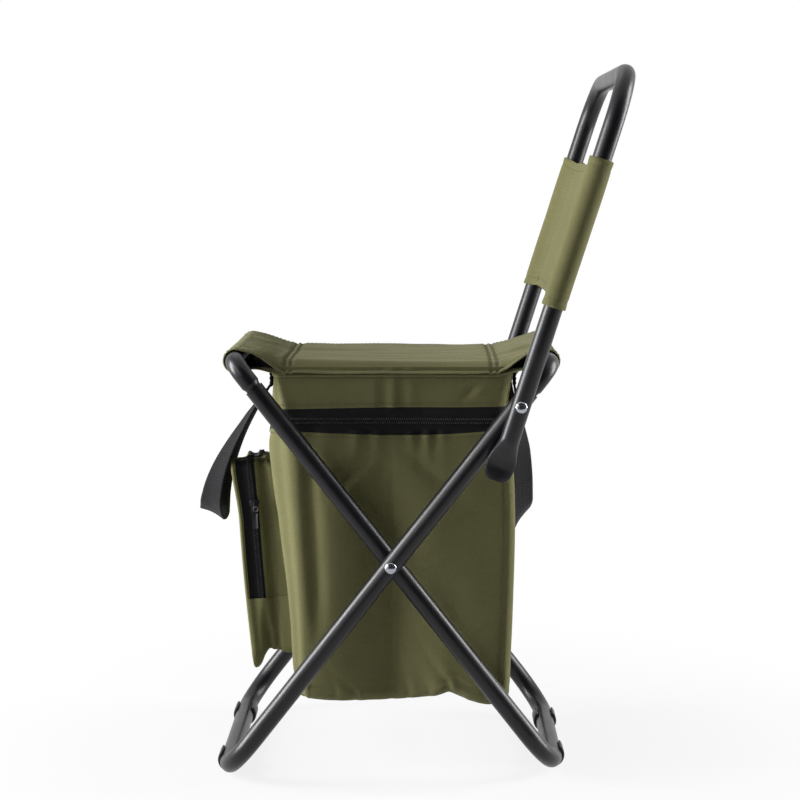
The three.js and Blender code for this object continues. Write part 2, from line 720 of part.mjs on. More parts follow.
const webbingStand = fitGap + webbingThickness / 2;
const handleTop = bagTop - fitGap - tabHeight - webbingStand;
const frontStart = new THREE.Vector3(bagFront - webbingStand, 0, handleTop);
const rearStart = new THREE.Vector3(bagRear + webbingStand, 0, handleTop);
const frontLoop = handleLoop(-1, frontStart, frontHandleDrop, frontHandleThrow, frontHandleTurn);
const rearLoop = handleLoop(1, rearStart, rearHandleDrop, rearHandleThrow, rearHandleTurn);
stool.add(piece('front_handle', frontLoop, blackTape));
stool.add(piece('rear_handle', rearLoop, blackTape));
for (const [sideName, side] of [['left', -1], ['right', 1]]) {
  stool.add(piece(`front_handle_tab_${sideName}`, handleTab(-1, bagFront, side), blackTape));
  stool.add(piece(`rear_handle_tab_${sideName}`, handleTab(1, bagRear, side), blackTape));
}

// The origin is the middle of the stool's box, on the floor.
const extent = new THREE.Box3().setFromObject(stool, true);
stool.position.x = -(extent.min.x + extent.max.x) / 2;

export default stool;
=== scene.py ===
import math
import bpy
from mathutils import Matrix, Quaternion, Vector, noise


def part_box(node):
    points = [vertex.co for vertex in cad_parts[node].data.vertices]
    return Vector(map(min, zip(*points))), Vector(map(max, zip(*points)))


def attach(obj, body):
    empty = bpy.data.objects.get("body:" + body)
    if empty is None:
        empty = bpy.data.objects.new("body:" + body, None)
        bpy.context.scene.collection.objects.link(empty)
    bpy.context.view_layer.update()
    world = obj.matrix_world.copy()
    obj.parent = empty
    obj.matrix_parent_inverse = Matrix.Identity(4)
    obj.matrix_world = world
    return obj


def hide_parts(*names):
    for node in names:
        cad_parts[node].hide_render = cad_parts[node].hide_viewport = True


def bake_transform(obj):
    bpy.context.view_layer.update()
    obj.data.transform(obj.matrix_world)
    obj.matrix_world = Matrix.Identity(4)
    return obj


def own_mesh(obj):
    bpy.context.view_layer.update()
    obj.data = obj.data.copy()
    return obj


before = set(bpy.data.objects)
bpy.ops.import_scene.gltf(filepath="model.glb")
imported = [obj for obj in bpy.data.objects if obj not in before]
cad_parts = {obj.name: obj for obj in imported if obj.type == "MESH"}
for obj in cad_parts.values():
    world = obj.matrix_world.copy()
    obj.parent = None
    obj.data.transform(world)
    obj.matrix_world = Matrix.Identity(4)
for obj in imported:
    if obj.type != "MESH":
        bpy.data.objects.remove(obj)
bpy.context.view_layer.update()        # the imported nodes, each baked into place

scene = bpy.context.scene


# Small helpers for working by operators

def deselectAll():
    if bpy.context.mode != "OBJECT":
        bpy.ops.object.mode_set(mode="OBJECT")
    bpy.ops.object.select_all(action="DESELECT")


def pick(obj):
    deselectAll()
    obj.select_set(True)
    bpy.context.view_layer.objects.active = obj


def openEdit(obj, kind="VERT"):
    pick(obj)
    bpy.ops.object.mode_set(mode="EDIT")
    bpy.ops.mesh.select_mode(type=kind)


def closeEdit():
    bpy.ops.object.mode_set(mode="OBJECT")


def pickPoints(obj, test):
    # selects the points whose place passes the test, and leaves the piece in edit mode
    deselectAll()
    mesh = obj.data
    mesh.polygons.foreach_set("select", [False] * len(mesh.polygons))
    mesh.edges.foreach_set("select", [False] * len(mesh.edges))
    mesh.vertices.foreach_set("select", [bool(test(obj.matrix_world @ v.co)) for v in mesh.vertices])
    openEdit(obj)


def applyPlace(obj):
    pick(obj)
    bpy.ops.object.transform_apply(location=True, rotation=True, scale=True)


def cleanMesh(obj, distance=0.00001):
    openEdit(obj)
    bpy.ops.mesh.select_all(action="SELECT")
    bpy.ops.mesh.remove_doubles(threshold=distance)
    bpy.ops.mesh.normals_make_consistent(inside=False)
    closeEdit()


def addModifier(obj, kind, **settings):
    pick(obj)
    bpy.ops.object.modifier_add(type=kind)
    modifier = obj.modifiers[-1]
    for key, value in settings.items():
        setattr(modifier, key, value)
    bpy.ops.object.modifier_apply(modifier=modifier.name)


def bevelEdges(obj, width, degrees, segments=2):
    # only the edges that turn by more than so many degrees
    addModifier(obj, "BEVEL", width=width, segments=segments, limit_method="ANGLE",
                angle_limit=math.radians(degrees))


def smoothShade(obj, degrees):
    pick(obj)
    bpy.ops.object.shade_smooth_by_angle(angle=math.radians(degrees))


def joinAll(name, objs):
    deselectAll()
    for obj in objs:
        obj.select_set(True)
    bpy.context.view_layer.objects.active = objs[0]
    bpy.ops.object.join()
    objs[0].name = name
    objs[0].data.name = name
    return objs[0]


def paint(obj, *materials):
    obj.data.materials.clear()
    for material in materials:
        obj.data.materials.append(material)


def middleOf(node):
    low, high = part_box(node)
    return (low + high) / 2


def softStep(value, low, high):
    share = min(max((value - low) / (high - low), 0.0), 1.0)
    return share * share * (3 - 2 * share)


def readTable(table, at):
    # a smooth curve through rows of (place, value), the places falling or rising
    rising = table[0][0] < table[-1][0]
    rows = table if rising else table[::-1]
    if at <= rows[0][0]:
        return rows[0][1]
    if at >= rows[-1][0]:
        return rows[-1][1]
    k = 0
    while at > rows[k + 1][0]:
        k += 1
    a = rows[max(k - 1, 0)][1]
    b = rows[k][1]
    c = rows[k + 1][1]
    d = rows[min(k + 2, len(rows) - 1)][1]
    t = (at - rows[k][0]) / (rows[k + 1][0] - rows[k][0])
    return b + 0.5 * t * (c - a + t * (2 * a - 5 * b + 4 * c - d + t * (3 * (b - c) + d - a)))


def ripple(x, y, z):
    return noise.noise(Vector((x, y, z)))


def bell(offset, width):
    # 1 in the middle, fading to nothing about two widths away
    return math.exp(-(offset / width) ** 2)


def fasten(obj, body, slotName, *nodes):
    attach(obj, body)
    if nodes:
        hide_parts(*nodes)


# Shader nodes, each added to one tree

def feed(tree, socket, value):
    # a socket takes a number, a colour or another node's result
    if isinstance(value, (int, float)):
        socket.default_value = value
    elif isinstance(value, tuple):
        socket.default_value = (*value, 1)
    else:
        tree.links.new(value, socket)


def sums(tree, kind, *values):
    node = tree.nodes.new("ShaderNodeMath")
    node.operation = kind
    for socket, value in zip(node.inputs, values):
        feed(tree, socket, value)
    return node.outputs[0]


def noiseNode(tree, where, scale, detail=2.0, roughness=0.5):
    node = tree.nodes.new("ShaderNodeTexNoise")
    tree.links.new(where, node.inputs["Vector"])
    for key, value in (("Scale", scale), ("Detail", detail), ("Roughness", roughness)):
        feed(tree, node.inputs[key], value)
    return node.outputs[0]


def rangeNode(tree, value, low, high, start=0.0, end=1.0, kind="LINEAR"):
    node = tree.nodes.new("ShaderNodeMapRange")
    node.interpolation_type = kind
    feed(tree, node.inputs["Value"], value)
    for key, number in (("From Min", start), ("From Max", end), ("To Min", low), ("To Max", high)):
        feed(tree, node.inputs[key], number)
    return node.outputs[0]


def rampNode(tree, source, rows):
    ramp = tree.nodes.new("ShaderNodeValToRGB")
    marks = ramp.color_ramp.elements
    while len(marks) < len(rows):
        marks.new(0.5)
    for mark, (place, color) in zip(marks, rows):
        mark.position = place
        mark.color = (*color, 1)
    tree.links.new(source, ramp.inputs[0])
    return ramp.outputs[0]


def mixColors(tree, kind, share, first, second):
    node = tree.nodes.new("ShaderNodeMix")
    node.data_type = "RGBA"
    node.blend_type = kind
    for k, value in ((0, share), (6, first), (7, second)):
        feed(tree, node.inputs[k], value)
    return node.outputs[2]


def mixShaders(tree, share, first, second, out):
    mix = tree.nodes.new("ShaderNodeMixShader")
    for socket, source in zip(mix.inputs, (share, first.outputs[0], second.outputs[0])):
        tree.links.new(source, socket)
    tree.links.new(mix.outputs[0], out.inputs["Surface"])


def bumpFrom(tree, shader, height, strength, distance):
    bump = tree.nodes.new("ShaderNodeBump")
    bump.inputs["Strength"].default_value = strength
    bump.inputs["Distance"].default_value = distance
    tree.links.new(height, bump.inputs["Height"])
    tree.links.new(bump.outputs[0], shader.inputs["Normal"])


def ownPlace(tree):
    return tree.nodes.new("ShaderNodeTexCoord").outputs["Object"]


def clothMap(tree):
    node = tree.nodes.new("ShaderNodeUVMap")
    node.uv_map = "UVMap"
    return node.outputs[0]


def newFinish(name, color, roughness, metallic=0.0):
    material = bpy.data.materials.new(name)
    material.use_nodes = True
    shader = material.node_tree.nodes["Principled BSDF"]
    shader.inputs["Base Color"].default_value = (*color, 1)
    shader.inputs["Roughness"].default_value = roughness
    shader.inputs["Metallic"].default_value = metallic
    return material, material.node_tree, shader


def gray(value):
    return (value, value, value)


# Camera, floor and light

view = {
    "place": (0.00939, -1.7177, 0.51419), "pitchDown": 0.1178, "turn": 0.0119,
    "lens": 88.56, "sensor": 36, "nearest": 0.01,
}

deselectAll()
cameraTurn = (math.pi / 2 - view["pitchDown"], 0, view["turn"])
bpy.ops.object.camera_add(location=view["place"], rotation=cameraTurn)
camera = bpy.context.object
camera.name = "photoCamera"
camera.data.lens = view["lens"]
camera.data.sensor_width = view["sensor"]
camera.data.clip_start = view["nearest"]
scene.camera = camera
scene.view_settings.view_transform = "Standard"

studio = {
    "floorSize": 12, "floorLevel": -0.0004, "floorWhite": 0.60, "floorGloss": 0.1, "dull": 0.9,
    "shadowShare": 0.16, "shadowNear": 0.20, "shadowFar": 0.55, "worldLevel": 0.03,
    "cardPlace": (0.55, -0.85, 0.80), "cardSize": (2.1, 1.6), "cardBlack": 0.01,
    # name, place, height that it aims at, size, roll and power
    "lamps": [
        ("keyBox", (-1.10, -0.95, 0.95), 0.30, (2.1, 0.13), -0.55, 8),
        ("leftBox", (-1.62, -0.18, 0.65), 0.30, (0.7, 1.2), 0, 66),
        ("sideBox", (1.00, -1.70, 1.10), 0.30, (0.5, 0.5), 0, 1),
        ("rimBox", (1.62, 0.16, 0.70), 0.30, (0.6, 1.4), 0, 46),
        ("topBox", (-0.4, 0.75, 1.9), 0.35, (0.8, 0.8), 0, 2),
    ],
}


def seenDirectly(tree):
    # 1 where the camera, a reflection or a clear piece looks at the background, 0 where it gives light
    rays = tree.nodes.new("ShaderNodeLightPath").outputs
    value = rays["Is Camera Ray"]
    for name in ("Is Glossy Ray", "Is Transmission Ray"):
        value = sums(tree, "MAXIMUM", value, rays[name])
    return value


def makeFloor():
    # plain white, with a soft shade round the feet
    deselectAll()
    bpy.ops.mesh.primitive_plane_add(size=studio["floorSize"], location=(0, 0, studio["floorLevel"]))
    floor = bpy.context.object
    floor.name = "studioFloor"
    applyPlace(floor)
    material, tree, shader = newFinish("studioFloorPaint", gray(studio["floorWhite"]), studio["dull"])
    shader.inputs["Specular IOR Level"].default_value = studio["floorGloss"]
    glow = tree.nodes.new("ShaderNodeEmission")
    glow.inputs["Strength"].default_value = 1.0
    away = tree.nodes.new("ShaderNodeVectorMath")
    away.operation = "LENGTH"
    tree.links.new(ownPlace(tree), away.inputs[0])
    fade = rangeNode(tree, away.outputs["Value"], 1 - studio["shadowShare"], 1.0,
                     studio["shadowNear"], studio["shadowFar"], "SMOOTHSTEP")
    share = sums(tree, "MULTIPLY", seenDirectly(tree), fade)
    mixShaders(tree, share, shader, glow, tree.nodes["Material Output"])
    paint(floor, material)


def makeWorld():
    world = bpy.data.worlds.new("studioWorld")
    scene.world = world
    world.use_nodes = True
    tree = world.node_tree
    tree.nodes.clear()
    soft = tree.nodes.new("ShaderNodeBackground")
    white = tree.nodes.new("ShaderNodeBackground")
    for node in (soft, white):
        node.inputs["Color"].default_value = (1, 1, 1, 1)
    soft.inputs["Strength"].default_value = studio["worldLevel"]
    mixShaders(tree, seenDirectly(tree), soft, white, tree.nodes.new("ShaderNodeOutputWorld"))


def makeCard():
    # a dark card on the camera's side, seen only in reflections, keeps the middle of the tubes dark
    deselectAll()
    bpy.ops.mesh.primitive_plane_add(size=1, location=studio["cardPlace"], rotation=(math.pi / 2, 0, 0))
    card = bpy.context.object
    card.name = "darkCard"
    card.scale = (*studio["cardSize"], 1)
    applyPlace(card)
    card.visible_camera = False
    card.visible_diffuse = False
    card.visible_transmission = False
    card.visible_shadow = False
    paint(card, newFinish("cardBlack", gray(studio["cardBlack"]), studio["dull"])[0])


def makeLamps():
    for name, place, aimHeight, size, roll, power in studio["lamps"]:
        facing = Vector((0, 0, aimHeight)) - Vector(place)
        lampTurn = facing.to_track_quat("-Z", "Y") @ Quaternion((0, 0, 1), roll)
        bpy.ops.object.light_add(type="AREA", location=place, rotation=lampTurn.to_euler())
        light = bpy.context.object
        light.name = name
        light.data.shape = "RECTANGLE"
        light.data.size = size[0]
        light.data.size_y = size[1]
        light.data.energy = power


makeFloor()
makeWorld()
makeCard()
makeLamps()
print("stage: camera, floor and lamps set")


# Finishes

def newGroup(name, numbers, results):
    # each group takes a place and some numbers, and gives other numbers
    tree = bpy.data.node_groups.new(name, "ShaderNodeTree")
    tree.interface.new_socket("Vector", in_out="INPUT", socket_type="NodeSocketVector")
    for key, value in numbers.items():
        socket = tree.interface.new_socket(key, in_out="INPUT", socket_type="NodeSocketFloat")
        socket.default_value = value
    for key in results:
        tree.interface.new_socket(key, in_out="OUTPUT", socket_type="NodeSocketFloat")
    given = tree.nodes.new("NodeGroupInput").outputs
    out = tree.nodes.new("NodeGroupOutput").inputs
    return tree, given, out


def placeGroup(tree, group, where, **values):
    node = tree.nodes.new("ShaderNodeGroup")
    node.node_tree = group
    tree.links.new(where, node.inputs["Vector"])
    for key, value in values.items():
        node.inputs[key].default_value = value
    return node.outputs


def wave(tree, value, perMetre):
    turns = sums(tree, "MULTIPLY", value, perMetre)
    return sums(tree, "SINE", sums(tree, "MULTIPLY", turns, 2 * math.pi))


def splitPlace(tree, where):
    parts = tree.nodes.new("ShaderNodeSeparateXYZ")
    tree.links.new(where, parts.inputs[0])
    return parts.outputs[0], parts.outputs[1]


def makeTwillGroup():
    # raised diagonal ribs cut into short floats, from a map in metres
    tree, given, out = newGroup("twillWeave", {"Ribs": 560.0, "Floats": 900.0, "Slub": 0.35}, ("Height",))
    u, v = splitPlace(tree, given["Vector"])
    drift = sums(tree, "MULTIPLY", noiseNode(tree, given["Vector"], 240), given["Slub"])
    slant = sums(tree, "MULTIPLY", sums(tree, "ADD", u, v), given["Ribs"])
    rib = wave(tree, sums(tree, "ADD", slant, drift), 1.0)
    rib = sums(tree, "MULTIPLY_ADD", rib, 0.5, 0.5)
    knot = wave(tree, sums(tree, "SUBTRACT", u, v), given["Floats"])
    knot = sums(tree, "MULTIPLY_ADD", knot, 0.15, 0.85)
    tree.links.new(sums(tree, "MULTIPLY", rib, knot), out["Height"])
    return tree


def makeMottleGroup():
    # slow fading over a hand's width, and fine specks
    tree, given, out = newGroup("clothMottle", {"Patch": 9.0, "Speck": 420.0}, ("Fade", "Fleck"))
    tree.links.new(noiseNode(tree, given["Vector"], given["Patch"], 5, 0.6), out["Fade"])
    tree.links.new(noiseNode(tree, given["Vector"], given["Speck"], 3), out["Fleck"])
    return tree


def makeRibGroup():
    # the ribs of woven tape: fine crossways cords with a long twill line
    tree, given, out = newGroup("tapeRibs", {"Cords": 700.0, "Lines": 420.0}, ("Height",))
    u, v = splitPlace(tree, given["Vector"])
    cords = wave(tree, u, given["Cords"])
    zigzag = sums(tree, "PINGPONG", u, 0.0031)
    lines = wave(tree, sums(tree, "ADD", zigzag, v), given["Lines"])
    both = sums(tree, "MULTIPLY_ADD", cords, 0.2, sums(tree, "MULTIPLY", lines, 0.3))
    tree.links.new(sums(tree, "ADD", both, 0.5), out["Height"])
    return tree


twillGroup = makeTwillGroup()
mottleGroup = makeMottleGroup()
ribGroup = makeRibGroup()

cloth = {
    "dark": (0.084, 0.082, 0.034), "middle": (0.131, 0.127, 0.056), "light": (0.178, 0.173, 0.082),
    "roughness": 0.82, "gloss": 0.05, "bump": 0.6, "depth": 0.0005,
    "sheen": 0.20, "sheenRoughness": 0.5, "sheenTint": (0.88, 0.87, 0.62),
}


def makeOliveCloth():
    material, tree, shader = newFinish("oliveTwill", cloth["middle"], cloth["roughness"])
    shader.inputs["Sheen Weight"].default_value = cloth["sheen"]
    shader.inputs["Sheen Roughness"].default_value = cloth["sheenRoughness"]
    shader.inputs["Sheen Tint"].default_value = (*cloth["sheenTint"], 1)
    shader.inputs["Specular IOR Level"].default_value = cloth["gloss"]
    where = clothMap(tree)
    weave = placeGroup(tree, twillGroup, where)["Height"]
    mottle = placeGroup(tree, mottleGroup, where)
    base = rampNode(tree, mottle["Fade"],
                    [(0.25, cloth["dark"]), (0.5, cloth["middle"]), (0.78, cloth["light"])])
    soft = mixColors(tree, "MIX", 0.35, cloth["middle"], base)
    # painted shade and highlight: the weave's hollows are painted darker and its ribs lighter, on top of the
    # weave's bump
    shade = rampNode(tree, weave, [(0.0, gray(0.72)), (0.8, gray(1.08))])
    woven = mixColors(tree, "MULTIPLY", 0.8, soft, shade)
    fleck = rampNode(tree, mottle["Fleck"], [(0.3, gray(0.9)), (0.7, gray(1.08))])
    tree.links.new(mixColors(tree, "MULTIPLY", 0.7, woven, fleck), shader.inputs["Base Color"])
    rough = rangeNode(tree, weave, cloth["roughness"] + 0.08, cloth["roughness"] - 0.06)
    tree.links.new(rough, shader.inputs["Roughness"])
    bumpFrom(tree, shader, weave, cloth["bump"], cloth["depth"])
    return material


def makeLining():
    material, tree, shader = newFinish("blackCoating", (0.010, 0.010, 0.011), 0.55)
    mottle = placeGroup(tree, mottleGroup, ownPlace(tree), Patch=40.0, Speck=900.0)
    tone = rampNode(tree, mottle["Fade"], [(0.3, (0.007, 0.007, 0.008)), (0.7, (0.016, 0.016, 0.017))])
    tree.links.new(tone, shader.inputs["Base Color"])
    bumpFrom(tree, shader, mottle["Fleck"], 0.3, 0.0003)
    return material


def makeTape(name, color, roughness, cords, lines, strength):
    material, tree, shader = newFinish(name, color, roughness)
    shader.inputs["Sheen Weight"].default_value = 0.06
    shader.inputs["Specular IOR Level"].default_value = 0.08
    where = clothMap(tree)
    ribs = placeGroup(tree, ribGroup, where, Cords=cords, Lines=lines)["Height"]
    mottle = placeGroup(tree, mottleGroup, where, Patch=30.0, Speck=800.0)
    # painted highlight and shade: the raised cords are painted lighter and the grooves darker, following the
    # same height as the bump
    ribHighlight = tuple(2.2 * c for c in color)
    darker = tuple(0.55 * c for c in color)
    base = rampNode(tree, ribs, [(0.15, darker), (0.85, ribHighlight)])
    fade = rampNode(tree, mottle["Fade"], [(0.3, gray(0.85)), (0.7, gray(1.2))])
    tree.links.new(mixColors(tree, "MULTIPLY", 1.0, base, fade), shader.inputs["Base Color"])
    bumpFrom(tree, shader, ribs, strength, 0.0004)
    return material


def makePaint():
    # satin black powder coat: a fine orange peel, and dull rub marks
    material, tree, shader = newFinish("satinBlackCoat", (0.006, 0.0058, 0.0072), 0.3)
    shader.inputs["Specular IOR Level"].default_value = 0.34
    where = ownPlace(tree)
    peel = noiseNode(tree, where, 900, 1)
    rub = noiseNode(tree, where, 38, 6, 0.65)
    tree.links.new(rangeNode(tree, rub, 0.32, 0.41, 0.35, 0.75), shader.inputs["Roughness"])
    tone = rampNode(tree, rub, [(0.35, (0.0022, 0.0021, 0.0036)), (0.75, (0.0046, 0.0044, 0.0066))])
    tree.links.new(tone, shader.inputs["Base Color"])
    bumpFrom(tree, shader, peel, 0.06, 0.0003)
    return material


def makeMetal(name, color, roughness):
    material, tree, shader = newFinish(name, color, roughness, 1.0)
    grain = noiseNode(tree, ownPlace(tree), 300, 4)
    rough = rangeNode(tree, grain, roughness - 0.08, roughness + 0.14)
    tree.links.new(rough, shader.inputs["Roughness"])
    darker = tuple(0.8 * c for c in color)
    tone = rampNode(tree, grain, [(0.35, darker), (0.6, color)])
    tree.links.new(tone, shader.inputs["Base Color"])
    bumpFrom(tree, shader, grain, 0.05, 0.0002)
    return material


def makePlastic():
    material, tree, shader = newFinish("mouldedBlack", (0.011, 0.011, 0.012), 0.5)
    where = ownPlace(tree)
    grain = noiseNode(tree, where, 1500)
    scuff = noiseNode(tree, where, 120, 5)
    tone = rampNode(tree, scuff, [(0.4, (0.009, 0.009, 0.010)), (0.75, (0.030, 0.029, 0.028))])
    tree.links.new(tone, shader.inputs["Base Color"])
    bumpFrom(tree, shader, grain, 0.15, 0.0003)
    return material


def makeFoil():
    material, tree, shader = newFinish("foilFilm", (0.66, 0.67, 0.69), 0.32, 0.75)
    crinkle = tree.nodes.new("ShaderNodeTexVoronoi")
    crinkle.inputs["Scale"].default_value = 90
    tree.links.new(ownPlace(tree), crinkle.inputs["Vector"])
    fold = crinkle.outputs["Distance"]
    tone = rampNode(tree, fold, [(0.0, (0.52, 0.53, 0.55)), (0.7, (0.74, 0.75, 0.77))])
    tree.links.new(tone, shader.inputs["Base Color"])
    bumpFrom(tree, shader, fold, 0.6, 0.001)
    return material


def makeThread(name, color):
    material, tree, shader = newFinish(name, color, 0.7)
    twist = noiseNode(tree, ownPlace(tree), 1800)
    darker = tuple(0.6 * c for c in color)
    tone = rampNode(tree, twist, [(0.35, darker), (0.65, color)])
    tree.links.new(tone, shader.inputs["Base Color"])
    bumpFrom(tree, shader, twist, 0.4, 0.0002)
    return material


oliveCloth = makeOliveCloth()
blackLining = makeLining()
webbing = makeTape("blackWebbing", (0.0040, 0.0040, 0.0046), 0.80, 560.0, 330.0, 0.7)
zipTape = makeTape("zipTapeBlack", (0.0056, 0.0056, 0.0064), 0.78, 900.0, 700.0, 0.5)
framePaint = makePaint()
zinc = makeMetal("brightZinc", (0.40, 0.42, 0.46), 0.14)
pullMetal = makeMetal("platedCasting", (0.12, 0.12, 0.125), 0.30)
sliderMetal = makeMetal("blackenedCasting", (0.035, 0.035, 0.038), 0.36)
footPlastic = makePlastic()
foil = makeFoil()
oliveThread = makeThread("oliveThread", (0.088, 0.086, 0.037))
blackThread = makeThread("blackThread", (0.011, 0.011, 0.012))
coilPlastic = makeThread("coilNylon", (0.040, 0.040, 0.043))
print("finishes: made")


# Tubes of the frame: a ring drawn out straight and spun round each bend

tube = {"radius": 0.008, "wall": 0.001, "sides": 36, "bendSteps": 14}


def bendTube(name, start, heading, moves):
    # the run lies flat in x and y; a positive bend turns left
    deselectAll()
    bpy.ops.mesh.primitive_circle_add(
        vertices=tube["sides"], radius=moves[0][1], location=(*start, 0), rotation=(math.pi / 2, 0, 0))
    obj = bpy.context.object
    obj.name = name
    bpy.ops.object.mode_set(mode="EDIT")
    bpy.ops.mesh.select_mode(type="VERT")
    bpy.ops.mesh.select_all(action="SELECT")
    at = Vector((*start, 0))
    way = Vector((*heading, 0))
    girth = moves[0][1]
    for move in moves[1:]:
        if move[0] == "bend":
            left = Vector((-way.y, way.x, 0))
            side = math.copysign(1, move[1])
            centre = at + left * side * move[2]
            bpy.ops.mesh.spin(steps=tube["bendSteps"], angle=-move[1], center=tuple(centre), axis=(0, 0, 1))
            way = Matrix.Rotation(move[1], 3, "Z") @ way
            at = centre - Vector((-way.y, way.x, 0)) * side * move[2]
        else:
            bpy.ops.mesh.extrude_region_move(TRANSFORM_OT_translate={"value": tuple(way * move[1])})
            at = at + way * move[1]
            if move[0] == "neck":
                scale = move[2] / girth
                bpy.ops.transform.resize(value=(scale, scale, scale), center_override=tuple(at))
                girth = move[2]
    closeEdit()
    applyPlace(obj)
    cleanMesh(obj)
    return obj


def standIn(origin, up):
    # carries x across the stool, y up along the leg and z out of that plane
    across = Vector((0, 1, 0))
    out = across.cross(up)
    turn = Matrix((across, up, out)).transposed().to_4x4()
    return Matrix.Translation(origin) @ turn


def placeTube(obj, where):
    obj.matrix_world = where
    applyPlace(obj)
    addModifier(obj, "SOLIDIFY", thickness=tube["wall"], offset=-1.0)
    smoothShade(obj, 40)
    paint(obj, framePaint)


crossing = middleOf("leg_rivet_left")
crossing.y = 0
pivot = middleOf("backrest_rivet_left")
pivot.y = 0
frontBar = middleOf("front_seat_sleeve")
rearBar = middleOf("rear_seat_sleeve")

legs = {
    "floorBarHeight": 0.0098, "bend": 0.040, "barBend": 0.015, "topDrop": 0.027,
    "spigotDepth": 0.030, "spigotLap": 0.0006, "neck": 0.0045,
    # up the seat bar's neck: share of its length, and the radius where that share starts
    "neckSteps": [(0.45, 0.0067), (0.30, 0.0070), (0.25, 0.0078)],
    "innerHalf": 0.105, "outerHalf": 0.1226,
}


def makeLegFrame(legName, barName, body, half, foot, bar, legNode, barNode):
    origin = Vector((middleOf(foot).x, 0, legs["floorBarHeight"]))
    up = (bar - origin).normalized()
    reach = (bar - origin).length
    where = standIn(origin, up)
    top = reach - legs["topDrop"]
    quarter = math.pi / 2
    leg = bendTube(legName, (-half, top), (0, -1), [
        ("ring", tube["radius"]), ("run", top - legs["bend"]), ("bend", quarter, legs["bend"]),
        ("run", 2 * (half - legs["bend"])), ("bend", quarter, legs["bend"]), ("run", top - legs["bend"])])
    placeTube(leg, where)
    fasten(leg, body, "frame_paint", legNode)

    lap = legs["spigotLap"]
    plug = legs["spigotDepth"] + lap
    rise = reach - legs["barBend"] - top - legs["neck"] - lap
    lengths = [legs["neck"] * share for share, radius in legs["neckSteps"]]
    radii = [radius for share, radius in legs["neckSteps"]] + [tube["radius"]]
    widen = [("neck", length, radius) for length, radius in zip(lengths, radii[1:])]
    narrow = [("neck", length, radius) for length, radius in zip(lengths[::-1], radii[-2::-1])]
    elbow = ("bend", -quarter, legs["barBend"])
    seatBar = bendTube(barName, (-half, top - legs["spigotDepth"]), (0, 1), [
        ("ring", radii[0]), ("run", plug), *widen, ("run", rise), elbow,
        ("run", 2 * (half - legs["barBend"])), elbow, ("run", rise), *narrow, ("run", plug)])
    placeTube(seatBar, where)
    fasten(seatBar, body, "frame_paint", barNode)


makeLegFrame("innerLegTube", "frontSeatBar", "inner_frame", legs["innerHalf"], "rear_foot_left", frontBar,
             "inner_leg_tube", "front_seat_bar")
makeLegFrame("outerLegTube", "rearSeatBar", "outer_frame", legs["outerHalf"], "front_foot_left", rearBar,
             "outer_leg_tube", "rear_seat_bar")

back = {
    "lean": math.radians(17.6), "half": 0.1402, "reach": 0.280, "bend": 0.045, "roundEnd": 0.028,
    # down from the round end: distance below the pivot, half width, half thickness, turned in
    "paddle": [(0.033, 0.0084, 0.0072, 0.0018), (0.039, 0.0098, 0.0050, 0.0054),
               (0.045, 0.0112, 0.0030, 0.0088), (0.050, 0.0120, 0.0019, 0.0108),
               (0.056, 0.0119, 0.0017, 0.0110), (0.0605, 0.0108, 0.0017, 0.0110),
               (0.0635, 0.0090, 0.0016, 0.0110), (0.0655, 0.0062, 0.0014, 0.0110)],
}
backUp = Vector((math.sin(back["lean"]), 0, math.cos(back["lean"])))


def makeBackrestTube():
    half = back["half"]
    run = back["reach"] - back["bend"] + back["roundEnd"]
    obj = bendTube("backrestTube", (-half, -back["roundEnd"]), (0, 1), [
        ("ring", tube["radius"]), ("run", run), ("bend", -math.pi / 2, back["bend"]),
        ("run", 2 * (half - back["bend"])), ("bend", -math.pi / 2, back["bend"]), ("run", run)])
    for side in (-1, 1):
        pickPoints(obj, lambda p: p.y < -back["roundEnd"] + 0.0001 and p.x * side > 0)
        at = Vector((side * half, -back["roundEnd"], 0))
        wide = tube["radius"]
        thick = tube["radius"]
        for drop, newWide, newThick, turnIn in back["paddle"]:
            to = Vector((side * (half - turnIn), -drop, 0))
            bpy.ops.mesh.extrude_region_move(TRANSFORM_OT_translate={"value": tuple(to - at)})
            bpy.ops.transform.resize(value=(newThick / thick, 1, newWide / wide), center_override=tuple(to))
            at = to
            wide = newWide
            thick = newThick
        bpy.ops.mesh.edge_face_add()
        closeEdit()
    cleanMesh(obj)
    obj.matrix_world = standIn(pivot, backUp)
    applyPlace(obj)
    smoothShade(obj, 45)
    paint(obj, framePaint)
    fasten(obj, "backrest", "frame_paint", "backrest_tube")


makeBackrestTube()
print("tubes: legs, seat bars and backrest bent")


# Rivets: turned from a ring, domed outside and set inside

rivet = {
    "sides": 28, "shank": 0.0025,
    "tail": [(0.0000, 0.0030), (0.0003, 0.0038), (0.0008, 0.0042), (0.0014, 0.0042)],
    "head": [(0.0024, 0.0045), (0.0021, 0.0048), (0.0018, 0.0048), (0.0013, 0.0044), (0.0008, 0.0037),
             (0.0003, 0.0025), (0.00006, 0.0012)],
}


